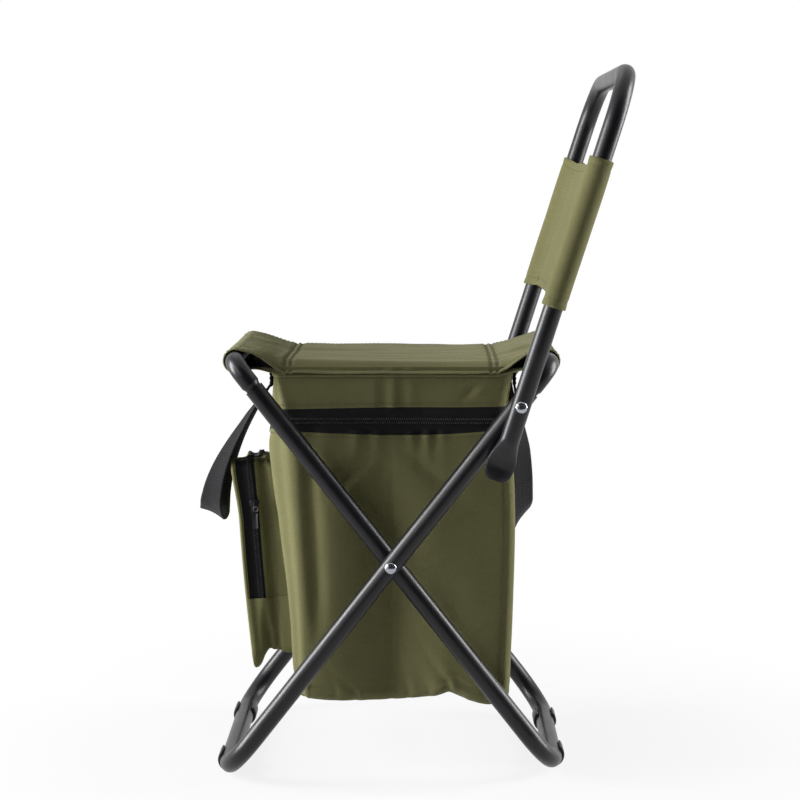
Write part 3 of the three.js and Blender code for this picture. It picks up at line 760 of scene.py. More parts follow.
def makeRivet(name, node):
    low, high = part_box(node)
    centre = (low + high) / 2
    side = -1 if centre.y < 0 else 1
    inner = min(abs(low.y), abs(high.y))
    outer = max(abs(low.y), abs(high.y))
    rings = [(inner + rise, radius) for rise, radius in rivet["tail"]]
    rings.append((inner + rivet["tail"][-1][0], rivet["shank"]))
    rings.append((outer - rivet["head"][0][0], rivet["shank"]))
    rings += [(outer - drop, radius) for drop, radius in rivet["head"]]
    deselectAll()
    bpy.ops.mesh.primitive_circle_add(
        vertices=rivet["sides"], radius=rings[0][1], location=(centre.x, side * rings[0][0], centre.z),
        rotation=(math.pi / 2, 0, 0))
    obj = bpy.context.object
    obj.name = name
    bpy.ops.object.mode_set(mode="EDIT")
    bpy.ops.mesh.select_all(action="SELECT")
    bpy.ops.mesh.edge_face_add()
    for (rise, radius), (newRise, newRadius) in zip(rings, rings[1:]):
        bpy.ops.mesh.extrude_region_move(TRANSFORM_OT_translate={"value": (0, side * (newRise - rise), 0)})
        scale = newRadius / radius
        at = (centre.x, side * newRise, centre.z)
        bpy.ops.transform.resize(value=(scale, 1, scale), center_override=at)
    closeEdit()
    applyPlace(obj)
    cleanMesh(obj, 0.000001)
    smoothShade(obj, 50)
    paint(obj, zinc)
    fasten(obj, "outer_frame", "rivet_zinc", node)


for sideName in ("left", "right"):
    makeRivet("legRivet" + sideName.title(), "leg_rivet_" + sideName)
    makeRivet("backrestRivet" + sideName.title(), "backrest_rivet_" + sideName)
    for washerNode in ("leg_washer_" + sideName, "backrest_washer_" + sideName):
        paint(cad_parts[washerNode], footPlastic)


# Foot clips: a flat strip spun round the floor bar, its sole cut level

clip = {
    "length": 0.022, "wall": 0.0022, "gap": 0.0003, "mouthHalf": math.radians(46), "steps": 30,
    "edge": 0.0006, "sole": 0.0001,
}


def makeFootClip(name, node, body):
    centre = middleOf(node)
    axis = Vector((centre.x, centre.y, legs["floorBarHeight"]))
    inner = tube["radius"] + clip["gap"]
    middle = inner + clip["wall"] / 2
    first = clip["mouthHalf"]
    place = axis + Vector((math.sin(first), 0, math.cos(first))) * middle
    deselectAll()
    bpy.ops.mesh.primitive_plane_add(size=1, location=place, rotation=(0, first - math.pi / 2, 0))
    obj = bpy.context.object
    obj.name = name
    obj.scale = (clip["wall"], clip["length"], 1)
    applyPlace(obj)
    openEdit(obj)
    bpy.ops.mesh.select_all(action="SELECT")
    sweep = 2 * math.pi - 2 * clip["mouthHalf"]
    bpy.ops.mesh.spin(steps=clip["steps"], angle=-sweep, center=tuple(axis), axis=(0, 1, 0))
    bpy.ops.mesh.select_all(action="SELECT")
    bpy.ops.mesh.bisect(plane_co=(0, 0, clip["sole"]), plane_no=(0, 0, 1), use_fill=True, clear_inner=True)
    closeEdit()
    cleanMesh(obj)
    bevelEdges(obj, clip["edge"], 40)
    smoothShade(obj, 40)
    paint(obj, footPlastic)
    fasten(obj, body, "foot_plastic", node)


for sideName in ("left", "right"):
    makeFootClip("frontFoot" + sideName.title(), "front_foot_" + sideName, "outer_frame")
    makeFootClip("rearFoot" + sideName.title(), "rear_foot_" + sideName, "inner_frame")
print("rivets and feet: made")


# Cloth: rows of points become one sheet, mapped in metres so that its weave follows it

def sheetMesh(name, rows, keep=None, flip=False, lay=None):
    # lay turns a place into the cloth's own flat measures, where the rows don't follow them
    count = len(rows[0])
    middleRow = rows[len(rows) // 2]
    middleColumn = [row[count // 2] for row in rows]
    across = [0.0]
    for first, second in zip(middleRow, middleRow[1:]):
        across.append(across[-1] + (second - first).length)
    down = [0.0]
    for first, second in zip(middleColumn, middleColumn[1:]):
        down.append(down[-1] + (second - first).length)
    faces = []
    places = []
    for i in range(len(rows) - 1):
        for j in range(count - 1):
            if keep and not keep(i, j):
                continue
            corners = [(i, j), (i, j + 1), (i + 1, j + 1), (i + 1, j)]
            if flip:
                corners.reverse()
            faces.append([a * count + b for a, b in corners])
            for a, b in corners:
                places += lay(rows[a][b]) if lay else (across[b], down[a])
    mesh = bpy.data.meshes.new(name)
    mesh.from_pydata([tuple(p) for row in rows for p in row], [], faces)
    mesh.uv_layers.new(name="UVMap").data.foreach_set("uv", places)
    obj = bpy.data.objects.new(name, mesh)
    scene.collection.objects.link(obj)
    openEdit(obj)
    bpy.ops.mesh.select_all(action="SELECT")
    bpy.ops.mesh.delete_loose(use_verts=True, use_edges=True, use_faces=False)
    bpy.ops.mesh.select_all(action="SELECT")
    bpy.ops.mesh.remove_doubles(threshold=0.000005)
    closeEdit()
    return obj


def thicken(obj, thickness, offset, *materials):
    # the first finish is outside, a second one is inside
    paint(obj, *materials)
    addModifier(obj, "SOLIDIFY", thickness=thickness, offset=offset, material_offset=len(materials) - 1)
    smoothShade(obj, 60)


def grains(name, seeds, material):
    # short rounded bars, for stitches and zip teeth: place, way, up, length, width, height
    points = []
    faces = []
    for place, way, up, length, width, height in seeds:
        base = len(points)
        side = way.cross(up).normalized()
        points.append(place - way * length / 2)
        for share in (-0.28, 0.28):
            middle = place + way * length * share
            points.append(middle + side * width / 2)
            points.append(middle + up * height)
            points.append(middle - side * width / 2)
            points.append(middle - up * height * 0.6)
        points.append(place + way * length / 2)
        for k in range(4):
            near = base + 1 + k
            nextNear = base + 1 + (k + 1) % 4
            faces.append((base, nextNear, near))
            faces.append((near, nextNear, nextNear + 4, near + 4))
            faces.append((near + 4, nextNear + 4, base + 9))
    mesh = bpy.data.meshes.new(name)
    mesh.from_pydata([tuple(p) for p in points], [], faces)
    obj = bpy.data.objects.new(name, mesh)
    scene.collection.objects.link(obj)
    cleanMesh(obj, 0.0000001)
    smoothShade(obj, 70)
    paint(obj, material)
    return obj


def walk(path, step):
    # evenly spaced (place, way, up) along a path of (place, up)
    spots = []
    left = step / 2
    for (a, upA), (b, upB) in zip(path, path[1:]):
        length = (b - a).length
        if length < 0.0000001:
            continue
        way = (b - a) / length
        while left <= length:
            share = left / length
            spots.append((a.lerp(b, share), way, upA.lerp(upB, share).normalized()))
            left += step
        left -= length
    return spots


thread = {"length": 0.0029, "gap": 0.0009, "width": 0.0007, "height": 0.0004}


def stitchSeeds(path, lift=0.0):
    seeds = []
    for place, way, up in walk(path, thread["length"] + thread["gap"]):
        seeds.append((place + up * lift, way, up, thread["length"], thread["width"], thread["height"]))
    return seeds


def sewToBag(obj, body, slotName, *nodes):
    fasten(obj, body, slotName, *nodes)
    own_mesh(obj)


def easeCurve(start, startWay, end, endWay, steps):
    points = []
    for k in range(steps):
        t = k / steps
        a = 2 * t ** 3 - 3 * t ** 2 + 1
        b = t ** 3 - 2 * t ** 2 + t
        c = 3 * t ** 2 - 2 * t ** 3
        d = t ** 3 - t ** 2
        points.append(start * a + startWay * b + end * c + endWay * d)
    return points


def arc(centre, radius, first, sweep, steps):
    angles = [first + sweep * k / steps for k in range(steps)]
    return [centre + Vector((math.cos(a), math.sin(a))) * radius for a in angles]


def hemmed(low, high, hem, lips, count):
    # places across a cloth whose two edges turn under, and how far under each place is
    lip, fold, start = lips
    places = [(low + hem, -1.0), (low + hem * 0.5, -1.0), (low + lip, -0.95), (low + fold, -0.5)]
    turned = [(low + high - place, under) for place, under in places[::-1]]
    places += [(low + start + (high - low - 2 * start) * k / count, 0.0) for k in range(count + 1)]
    return places + turned


# Seat: one sheet looped round both seat bars and sewn back on itself

seat = {
    "half": 0.0900, "cloth": 0.0011, "loop": 0.0104, "inset": 0.042, "level": 0.3530, "sag": 0.0010,
    "edgeDroop": 0.0088, "farDroop": 0.0004, "edgeRun": 0.016, "edgeWave": 0.0009,
    "hem": 0.0064, "hemDrop": 0.0015, "lips": (0.0009, 0.0001, 0.0006), "hemRow": 0.005,
    "slopeWrinkle": 0.0032, "flatWrinkle": 0.0021, "fineWrinkle": 0.0002,
    "rowBack": 0.001, "rowGap": 0.0052, "rowDepth": 0.0012, "rowWidth": 0.0015, "lapDrop": 0.0021,
    "leaves": math.radians(72), "loopSteps": 24, "slopeSteps": 26, "flatSteps": 150, "columns": 72,
    "flat": (0.193, 0.410),
}


def seatProfile():
    # place in x and z and how flat it lies: from the front stitches round the bar, over the seat to the rear
    level = seat["level"]
    angle = seat["leaves"]
    bar = Vector((frontBar.x, frontBar.z))
    along = Vector((math.cos(angle), math.sin(angle)))
    stitch = Vector((frontBar.x + seat["inset"], level))
    lap = Vector((stitch.x, level - seat["lapDrop"]))
    under = bar + Vector((along.x, -along.y)) * seat["loop"]
    way = Vector((-along.y, -along.x)) * 0.035
    steps = seat["loopSteps"]
    loop = easeCurve(lap, Vector((-0.035, -0.003)), under, way, steps)
    loop += arc(bar, seat["loop"], -angle, 2 * angle - 2 * math.pi, steps)
    way = Vector((along.y, -along.x)) * 0.036
    slope = easeCurve(bar + along * seat["loop"], way, stitch, Vector((0.036, -0.0045)), seat["slopeSteps"])
    half = [(p, 0.0) for p in loop] + [(p, k / len(slope)) for k, p in enumerate(slope)]
    centre = (frontBar.x + rearBar.x) / 2
    span = 2 * (centre - stitch.x)
    flat = []
    for k in range(seat["flatSteps"] + 1):
        t = k / seat["flatSteps"]
        flat.append((Vector((stitch.x + span * t, level - seat["sag"] * math.sin(math.pi * t))), 1.0))
    mirrored = [(Vector((2 * centre - p.x, p.y)), lie) for p, lie in half[::-1]]
    return half + flat + mirrored


def seatLines():
    # the double rows of stitches: both outer rows, then both inner ones
    front = frontBar.x + seat["inset"] - seat["rowBack"]
    rear = rearBar.x - seat["inset"] + seat["rowBack"]
    return [front, rear, front + seat["rowGap"], rear - seat["rowGap"]]


def seatPoint(place, lie, up, y, drop):
    x = place.x
    amount = seat["slopeWrinkle"] * math.sin(math.pi * min(lie, 0.999))
    amount += seat["flatWrinkle"] * softStep(lie, 0.7, 1)
    folds = ripple(x * 7, y * 62, 3.1) + 0.45 * ripple(x * 12, y * 140, 7.7)
    lift = amount * (0.35 + folds) + seat["fineWrinkle"] * ripple(x * 60, y * 60, 1.3)
    if lie > 0.3:
        for line in seatLines():
            lift -= seat["rowDepth"] * bell(x - line, seat["rowWidth"])
    inward = softStep(min(x - frontBar.x, rearBar.x - x), 0.012, seat["inset"])
    edge = inward * softStep(abs(y), seat["half"] - seat["edgeRun"], seat["half"])
    point = Vector((x, y, place.y)) + up * (lift + drop * seat["hemDrop"])
    point.z += edge * seat["edgeWave"] * ripple(x * 28, y * 4, 5.5)
    point.z -= edge * (seat["edgeDroop"] if y < 0 else seat["farDroop"])
    return point


def makeSeat():
    profile = seatProfile()
    columns = hemmed(-seat["half"], seat["half"], seat["hem"], seat["lips"], seat["columns"])
    rows = []
    ups = []
    for i, (place, lie) in enumerate(profile):
        before = profile[max(i - 1, 0)][0]
        after = profile[min(i + 1, len(profile) - 1)][0]
        way = (after - before).normalized()
        up = Vector((-way.y, 0, way.x))
        rows.append([seatPoint(place, lie, up, y, drop) for y, drop in columns])
        ups.append(up)
    sheet = sheetMesh("seatCloth", rows, flip=True)
    thicken(sheet, seat["cloth"], -1.0, oliveCloth, blackLining)
    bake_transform(sheet)
    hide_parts("front_seat_sleeve", "rear_seat_sleeve", "seat_sling")

    top = [i for i in range(len(profile)) if profile[i][1] > 0.25]
    inside = [j for j, (y, drop) in enumerate(columns) if drop == 0 and abs(y) < seat["half"] - 0.004]
    lines = seatLines()
    lineRows = [min(top, key=lambda k: abs(profile[k][0].x - line)) for line in lines]
    seeds = []
    for k, i in enumerate(lineRows):
        seeds += stitchSeeds([(rows[i][j], ups[i]) for j in inside])
        if k > 1:
            continue
        # both ends of a double row are closed into a small box
        first, last = sorted((i, lineRows[k + 2]))
        for side in (-1, 1):
            ends = [j for j in inside if 0.005 < seat["half"] - columns[j][0] * side < 0.011]
            for j in (ends[0], ends[-1]):
                seeds += stitchSeeds([(rows[n][j], ups[n]) for n in range(first, last + 1)])
    for side in (-1, 1):
        target = side * (seat["half"] - seat["hemRow"])
        j = min(inside, key=lambda k: abs(columns[k][0] - target))
        hemRows = range(seat["loopSteps"], len(rows) - seat["loopSteps"])
        seeds += stitchSeeds([(rows[i][j], ups[i]) for i in hemRows])
    stitches = grains("seatStitches", seeds, oliveThread)
    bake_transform(stitches)


makeSeat()
print("seat: sheet looped and stitched")


# Backrest cloth: a web with a tunnel round each side tube

panel = {
    "start": 0.084, "height": 0.124, "tunnel": 0.0103, "seam": 0.0215, "cloth": 0.0011,
    "hem": 0.0066, "hemDrop": 0.0014, "lips": (0.0008, 0.0, 0.0005), "rowDepth": 0.0005, "rowWidth": 0.0016,
    "bow": 0.0025, "wrinkle": 0.0006, "fineWrinkle": 0.0004, "gather": 0.0035,
    "leaves": math.radians(38), "loopSteps": 26, "webSteps": 44, "rows": 56, "flat": (0.136, 0.385),
}


def panelSection():
    # (across, out) from the near seam round the near tube, over the web and round the far tube
    ring = panel["tunnel"]
    angle = panel["leaves"]
    tubeAt = Vector((-back["half"], 0))
    seam = Vector((-back["half"] + panel["seam"], 0))
    along = Vector((math.sin(angle), math.cos(angle)))
    behind = tubeAt + Vector((along.x, -along.y)) * ring
    way = Vector((-along.y, -along.x)) * 0.012
    points = easeCurve(seam + Vector((0, -0.0016)), Vector((-0.012, -0.0008)), behind, way, 8)
    points += arc(tubeAt, ring, angle - math.pi / 2, -math.pi - 2 * angle, panel["loopSteps"])
    way = Vector((along.y, -along.x)) * 0.012
    points += easeCurve(tubeAt + along * ring, way, seam, Vector((0.014, -0.0004)), 10)
    web = []
    for k in range(panel["webSteps"] + 1):
        t = k / panel["webSteps"]
        web.append(Vector((seam.x - 2 * seam.x * t, -panel["bow"] * math.sin(math.pi * t))))
    mirrored = [Vector((-p.x, p.y)) for p in points[::-1]]
    return points + web + mirrored, len(points)


def makeBackrestCloth():
    section, seamAt = panelSection()
    last = len(section) - 1
    across = Vector((0, 1, 0))
    ahead = -(across.cross(backUp))
    bottom = panel["start"]
    top = bottom + panel["height"]
    middle = (bottom + top) / 2
    hemLines = (bottom + panel["hem"], top - panel["hem"])
    levels = hemmed(bottom, top, panel["hem"], panel["lips"], panel["rows"])
    outs = []
    for j in range(len(section)):
        way = (section[min(j + 1, last)] - section[max(j - 1, 0)]).normalized()
        outs.append(Vector((-way.y, way.x)))
    ups = [(across * out.x + ahead * out.y).normalized() for out in outs]
    rows = []
    for level, drop in levels:
        row = []
        for spot, out in zip(section, outs):
            flatness = softStep(back["half"] - abs(spot.x), -0.002, 0.03)
            lift = panel["wrinkle"] * ripple(spot.x * 22, level * 30, 2.2) * (0.4 + flatness)
            lift += panel["fineWrinkle"] * ripple(spot.x * 70, level * 14, 6.1)
            for line in hemLines:
                lift -= panel["rowDepth"] * bell(level - line, panel["rowWidth"])
            gather = panel["gather"] * flatness * (1 if level > middle else -1)
            gather *= softStep(abs(level - middle), 0.030, 0.062)
            place = spot + out * (lift + drop * panel["hemDrop"])
            row.append(pivot + across * place.x + backUp * (level - gather) + ahead * place.y)
        rows.append(row)
    sheet = sheetMesh("backrestCloth", rows, flip=True)
    thicken(sheet, panel["cloth"], -1.0, oliveCloth)
    fasten(sheet, "backrest", "olive_cloth", "backrest_panel")
    seeds = []
    for line in hemLines:
        i = min(range(len(levels)), key=lambda k: abs(levels[k][0] - line) + abs(levels[k][1]))
        seeds += stitchSeeds([(rows[i][j], ups[j]) for j in range(6, len(section) - 6)])
    for j in (seamAt - 1, seamAt + 2, last - seamAt - 2, last - seamAt + 1):
        seeds += stitchSeeds([(rows[i][j], ups[j]) for i in range(5, len(rows) - 5)])
    stitches = grains("backrestStitches", seeds, oliveThread)
    fasten(stitches, "backrest", "olive_cloth")


makeBackrestCloth()
print("backrest: cloth sewn round its tubes")


# Bag: a soft shell lofted from outlines that change with height, creased down the middle of each side

bag = {
    "top": 0.3490, "zipTop": 0.3152, "zipMiddle": 0.3034, "zipBottom": 0.2916, "bottom": 0.0662,
    "half": 0.0860, "cloth": 0.0012, "skirtCloth": 0.0010, "foam": 0.0050, "foldX": -0.0168,
    "rearCorner": 0.0085, "bottomEdge": 0.009, "cornerFlat": 0.22, "farRise": 0.0032,
    "piping": 0.0011, "pipingAt": 0.3418, "pipingOut": 0.0012, "liner": 0.0012,
    # the turned hems along the zip: height from the cloth's edge, and how far out
    "bodyHem": [(0.0034, -0.0012), (0.0006, -0.0008), (0.0, 0.0), (-0.0006, 0.0007), (-0.0018, 0.0008)],
    "skirtHem": [(0.0008, 0.0008), (0.0, 0.0008), (-0.0005, 0.0002), (0.0, -0.0006), (0.0036, -0.0008)],
    # against height: the front and rear faces, the front corners' radius and the depth of the sides' crease
    "front": [(0.3452, -0.1144), (0.3152, -0.1172), (0.2916, -0.1190), (0.2790, -0.1214), (0.2600, -0.1198),
              (0.2195, -0.1137), (0.1420, -0.1047), (0.0950, -0.1018), (0.0662, -0.0985)],
    "rear": [(0.3452, 0.0838), (0.3152, 0.0790), (0.2916, 0.0812), (0.2530, 0.0860), (0.2110, 0.0872),
             (0.1340, 0.0855), (0.0730, 0.0830), (0.0620, 0.0826)],
    "frontCorner": [(0.3452, 0.0025), (0.3152, 0.0125), (0.2916, 0.0195), (0.2700, 0.0225),
                    (0.2200, 0.0180), (0.1420, 0.0130), (0.0662, 0.0110)],
    "crease": [(0.3452, 0.0003), (0.3152, 0.0012), (0.2916, 0.0030), (0.2500, 0.0075), (0.2000, 0.0118),
               (0.1500, 0.0142), (0.1000, 0.0148), (0.0662, 0.0112)],
    # from front to rear: the height that the bottom hangs to
    "hang": [(-0.0985, 0.0640), (-0.0700, 0.0618), (-0.0350, 0.0610), (-0.0168, 0.0600), (0.0060, 0.0630),
             (0.0200, 0.0652), (0.0330, 0.0690), (0.0400, 0.0666), (0.0480, 0.0622), (0.0640, 0.0584),
             (0.0815, 0.0610)],
    # from front to rear: how far the cloth's edges along the zip stand off level
    "zipUpperEdge": [(-0.118, -0.0018), (-0.070, -0.0010), (-0.017, 0.0000), (0.040, 0.0002),
                     (0.079, 0.0008)],
    "zipLowerEdge": [(-0.118, 0.0030), (-0.070, 0.0012), (-0.017, -0.0006), (0.030, 0.0006),
                     (0.079, 0.0040)],
}
bagFolds = {
    "wrinkle": 0.0016, "slump": 0.0022, "bulge": 0.0042, "faceBulge": 0.0022, "topBulge": 0.0020,
    # puckers under the zip
    "pucker": 0.0018, "puckerLong": 0.0150, "shortPucker": 0.0010, "puckerFade": 0.012,
    # the gathered bottom seam and the creases that run up from it: place, slant, height and depth
    "seamRipple": 0.0020, "seamFade": 0.020, "seamGroove": 0.0013, "seamRise": 0.012, "seamWidth": 0.0022,
    "tucks": [(-0.0620, -0.3, 0.012, 0.0010), (-0.0385, -1.1, 0.016, 0.0024),
              (-0.0185, -0.1, 0.010, 0.0016), (-0.0005, -0.3, 0.016, 0.0022),
              (0.0190, -0.5, 0.010, 0.0018), (0.0360, -0.6, 0.022, 0.0026), (0.0580, 0.4, 0.012, 0.0012)],
    "tuckWidth": 0.0026, "ridgeOff": 0.0055, "ridgeWidth": 0.0035,
    # the seam at the rear corner and the fold beside the front one
    "rearSeam": 0.0012, "rearSeamIn": 0.0008, "rearSeamWidth": 0.0018,
    "frontFold": 0.0044, "frontFoldIn": 0.010, "frontFoldWidth": 0.008,
    # folds that spread from the crease below the zip: slope, reach and depth
    "spread": [(-1.1, 0.050, 0.0030), (1.0, 0.045, 0.0022), (-0.35, 0.07, 0.0016)],
    # the skirt's wave over the crease, and its one slanting wrinkle with a ridge beside it
    "skirtWave": 0.0011, "skirtWaveAt": -0.016, "skirtWaveLong": 0.017, "skirtWaveWidth": 0.016,
    "slant": 0.0013, "slantFrom": (0.0395, 0.3181), "slantSlope": 0.92, "slantWidth": 0.0042,
    "slantLevel": 0.3275, "slantTall": 0.0060, "slantRidge": 0.0008, "slantRidgeOff": 0.0080,
    "slantRidgeWidth": 0.0050,
}
around = {"side": 50, "frontCorner": 9, "front": 40, "rearCorner": 5, "rear": 40}
# the first column of the rear corners, and the column that closes the turn
rearFirst = 4 * around["side"] + 2 * around["frontCorner"] + around["front"]
lastColumn = rearFirst + 2 * around["rearCorner"] + around["rear"]
intoCorner = 4   # columns of the rear corners that the zip still reaches


def onZip(j):
    return j < rearFirst + intoCorner or j >= lastColumn - intoCorner


def bagOutline(z):
    # one turn round the bag: place, way out, which side, and how far from the crease (0) to the corner (1)
    half = bag["half"]
    front = readTable(bag["front"], z)
    rear = readTable(bag["rear"], z)
    big = readTable(bag["frontCorner"], z)
    small = bag["rearCorner"]
    fold = bag["foldX"]
    spots = []

    def straight(start, end, count, out, side, firstGap, lastGap):
        for k in range(count):
            t = k / count
            place = Vector(start).lerp(Vector(end), t)
            spots.append((place, Vector(out), side, firstGap + (lastGap - firstGap) * t))

    def corner(centre, radius, first, last, count, flat=0.0):
        for k in range(count):
            angle = math.radians(first + (last - first) * k / count)
            out = Vector((math.cos(angle), math.sin(angle)))
            reach = radius * (1 - flat * math.sin(math.pi * k / count) ** 2)
            spots.append((Vector(centre) + out * reach, out, "corner", 1.0))

    count = around["side"]
    straight((rear - small, -half), (fold, -half), count, (0, -1), "near", 1, 0)
    straight((fold, -half), (front + big, -half), count, (0, -1), "near", 0, 1)
    corner((front + big, -half + big), big, -90, -180, around["frontCorner"], bag["cornerFlat"])
    straight((front, -half + big), (front, half - big), around["front"], (-1, 0), "front", 1, -1)
    corner((front + big, half - big), big, 180, 90, around["frontCorner"], bag["cornerFlat"])
    straight((front + big, half), (fold, half), count, (0, 1), "far", 1, 0)
    straight((fold, half), (rear - small, half), count, (0, 1), "far", 0, 1)
    corner((rear - small, half - small), small, 90, 0, around["rearCorner"])
    straight((rear, half - small), (rear, small - half), around["rear"], (1, 0), "rear", 1, -1)
    corner((rear - small, small - half), small, 0, -90, around["rearCorner"])
    spots.append(spots[0])
    return spots


def zipPush(place, z, seed, edge):
    # puckers under the zip, most of them near the middle of the side
    below = bag["zipBottom"] - z
    if below <= -0.004:
        return 0.0
    window = softStep(place.x, -0.062, -0.035) * softStep(-place.x, -0.042, -0.012)
    phase = 2 * math.pi * (place.x - bag["foldX"]) / bagFolds["puckerLong"]
    waves = math.cos(phase + 5.0 * ripple(place.x * 24, z * 8, seed))
    waves *= 0.75 + ripple(place.x * 31, z * 10, seed + 7)
    short = edge * ripple(place.x * 85, z * 12, seed + 1)
    push = bagFolds["pucker"] * window * waves + bagFolds["shortPucker"] * short
    return push * math.exp(-max(below, 0) / bagFolds["puckerFade"])


def bottomPush(place, z, seed, edge):
    # the gathered bottom seam, and the tucks that run up from it
    above = max(z - bag["bottom"], 0)
    push = bagFolds["seamRipple"] * edge * ripple(place.x * 52, z * 15, seed + 5)
    push *= math.exp(-above / bagFolds["seamFade"])
    push -= bagFolds["seamGroove"] * bell(above - bagFolds["seamRise"], bagFolds["seamWidth"])
    for at, slant, tall, deep in bagFolds["tucks"]:
        crease = place.x - at - slant * above
        shape = 0.5 * bell(crease - bagFolds["ridgeOff"], bagFolds["ridgeWidth"])
        shape -= bell(crease, bagFolds["tuckWidth"])
        push += deep * edge * shape * math.exp(-above / tall)
    return push


def foldPush(place, gap, z):
    # the rear corner's seam, the fold beside the front corner, and the folds that spread from the crease
    below = bag["zipBottom"] - z
    seam = readTable(bag["rear"], z) - bag["rearCorner"] - bagFolds["rearSeamIn"] - place.x
    push = -bagFolds["rearSeam"] * bell(seam, bagFolds["rearSeamWidth"]) * softStep(below, 0, 0.01)
    cornerEnd = readTable(bag["front"], z) + readTable(bag["frontCorner"], z)
    valley = cornerEnd + bagFolds["frontFoldIn"] - place.x
    share = softStep(0.290 - z, 0.0, 0.035) * softStep(z, 0.10, 0.17) * softStep(1 - gap, 0.0, 0.14)
    push -= bagFolds["frontFold"] * share * bell(valley, bagFolds["frontFoldWidth"])
    for slope, reach, deep in bagFolds["spread"]:
        fold = place.x - bag["foldX"] - slope * below
        share = softStep(below, 0.006, 0.03) * softStep(1 - gap, 0.1, 0.5)
        share *= 1 - softStep(below, reach * 0.6, reach * 1.7)
        push -= deep * share * bell(fold, 0.006 + 0.10 * max(below, 0))
    return push


def skirtPush(place, z):
    # above the zip: a wave over the crease, and one slanting wrinkle
    if z <= bag["zipTop"] - 0.001:
        return 0.0
    rise = (z - bag["zipTop"]) / (bag["top"] - bag["zipTop"])
    off = place.x - bagFolds["skirtWaveAt"]
    soft = math.cos(2 * math.pi * off / bagFolds["skirtWaveLong"]) * bell(off, bagFolds["skirtWaveWidth"])
    push = bagFolds["skirtWave"] * soft * (1 - 0.5 * rise)
    fromX, fromZ = bagFolds["slantFrom"]
    slant = place.x - fromX - bagFolds["slantSlope"] * (z - fromZ)
    share = bell(z - bagFolds["slantLevel"], bagFolds["slantTall"])
    push -= bagFolds["slant"] * share * bell(slant, bagFolds["slantWidth"])
    ridge = bell(slant - bagFolds["slantRidgeOff"], bagFolds["slantRidgeWidth"])
    return push + bagFolds["slantRidge"] * share * ridge


def bagPush(place, side, gap, z):
    # how far the cloth stands out from the plain outline
    seed = {"near": 1.7, "far": 9.4, "front": 4.4, "rear": 6.6, "corner": 2.9}[side]
    span = place.y if side in ("front", "rear") else place.x
    edge = 0.0 if side == "corner" else 1 - abs(gap) ** 6
    rough = ripple(span * 13, z * 9, seed) + 0.35 * ripple(span * 40, z * 21, seed + 3)
    slump = ripple(span * 19 + z * 6, z * 3.5, seed + 11) * softStep(0.30 - z, 0.0, 0.06)
    push = edge * (bagFolds["wrinkle"] * rough + bagFolds["slump"] * slump)
    if side in ("near", "far"):
        near = 1 - gap
        sharp = softStep(0.30 - z, 0.0, 0.14)
        push -= readTable(bag["crease"], z) * (sharp * near ** 1.4 + (1 - sharp) * softStep(near, 0, 1))
        swell = 0.8 if place.x > bag["foldX"] else 1.0
        push += bagFolds["bulge"] * softStep(0.32 - z, 0.0, 0.08) * math.sin(math.pi * gap) * swell
        push += zipPush(place, z, seed, edge) + bottomPush(place, z, seed, edge)
        push += foldPush(place, gap, z) + skirtPush(place, z)
    elif side == "front":
        push += bagFolds["faceBulge"] * math.cos(math.pi * gap / 2)
        push += bagFolds["topBulge"] * softStep(z, 0.27, 0.33) * math.cos(math.pi * gap / 2)
    elif side == "rear":
        push += bagFolds["faceBulge"] * math.cos(math.pi * gap / 2) * softStep(0.33 - z, 0, 0.06)
    return push


def zipShift(x, z):
    # the coil stays level while the cloth's edges part in the middle and close towards the ends
    middle = bag["zipMiddle"]
    if z >= middle:
        share = softStep(z, middle, bag["zipTop"]) * (1 - softStep(z, bag["zipTop"], bag["top"]))
        return share * readTable(bag["zipUpperEdge"], x)
    share = softStep(-z, -middle, -bag["zipBottom"]) * softStep(z, 0.22, bag["zipBottom"])
    return share * readTable(bag["zipLowerEdge"], x)


def bagRow(z, out=0.0):
    row = []
    ways = []
    for place, way, side, gap in bagOutline(z):
        reach = bagPush(place, side, gap, z) + out
        spot = place + way * reach
        level = z + zipShift(place.x, z)
        far = softStep(place.y, -bag["half"], bag["half"])
        level += bag["farRise"] * far * softStep(z, bag["zipTop"], bag["top"])
        level += (readTable(bag["hang"], place.x) - bag["bottom"]) * softStep(0.17 - z, 0.0, 0.10)
        row.append(Vector((spot.x, spot.y, level)))
        ways.append(Vector((way.x, way.y, 0)))
    return row, ways


def bagRows(levels):
    return [bagRow(z, out)[0] for z, out in levels]


def evenly(start, end, count):
    return [start + (end - start) * k / count for k in range(count + 1)]


def ladder(start, end, count, out=0.0):
    return [(z, out) for z in evenly(start, end, count)]


def closeBottom(rows, centre, steps, unevenness, pitch, seed, firstDrop=0.0):
    # rings that draw the last row in to the middle
    last = rows[-1]
    for k in range(1, steps + 1):
        share = 1 - k / steps
        ring = []
        for p in last:
            point = centre.lerp(p, share)
            if k == 1 and firstDrop:
                point.z = p.z - firstDrop
            point.z += unevenness * ripple(point.x * pitch, point.y * pitch, seed) * (1 - share)
            ring.append(point)
        rows.append(ring)


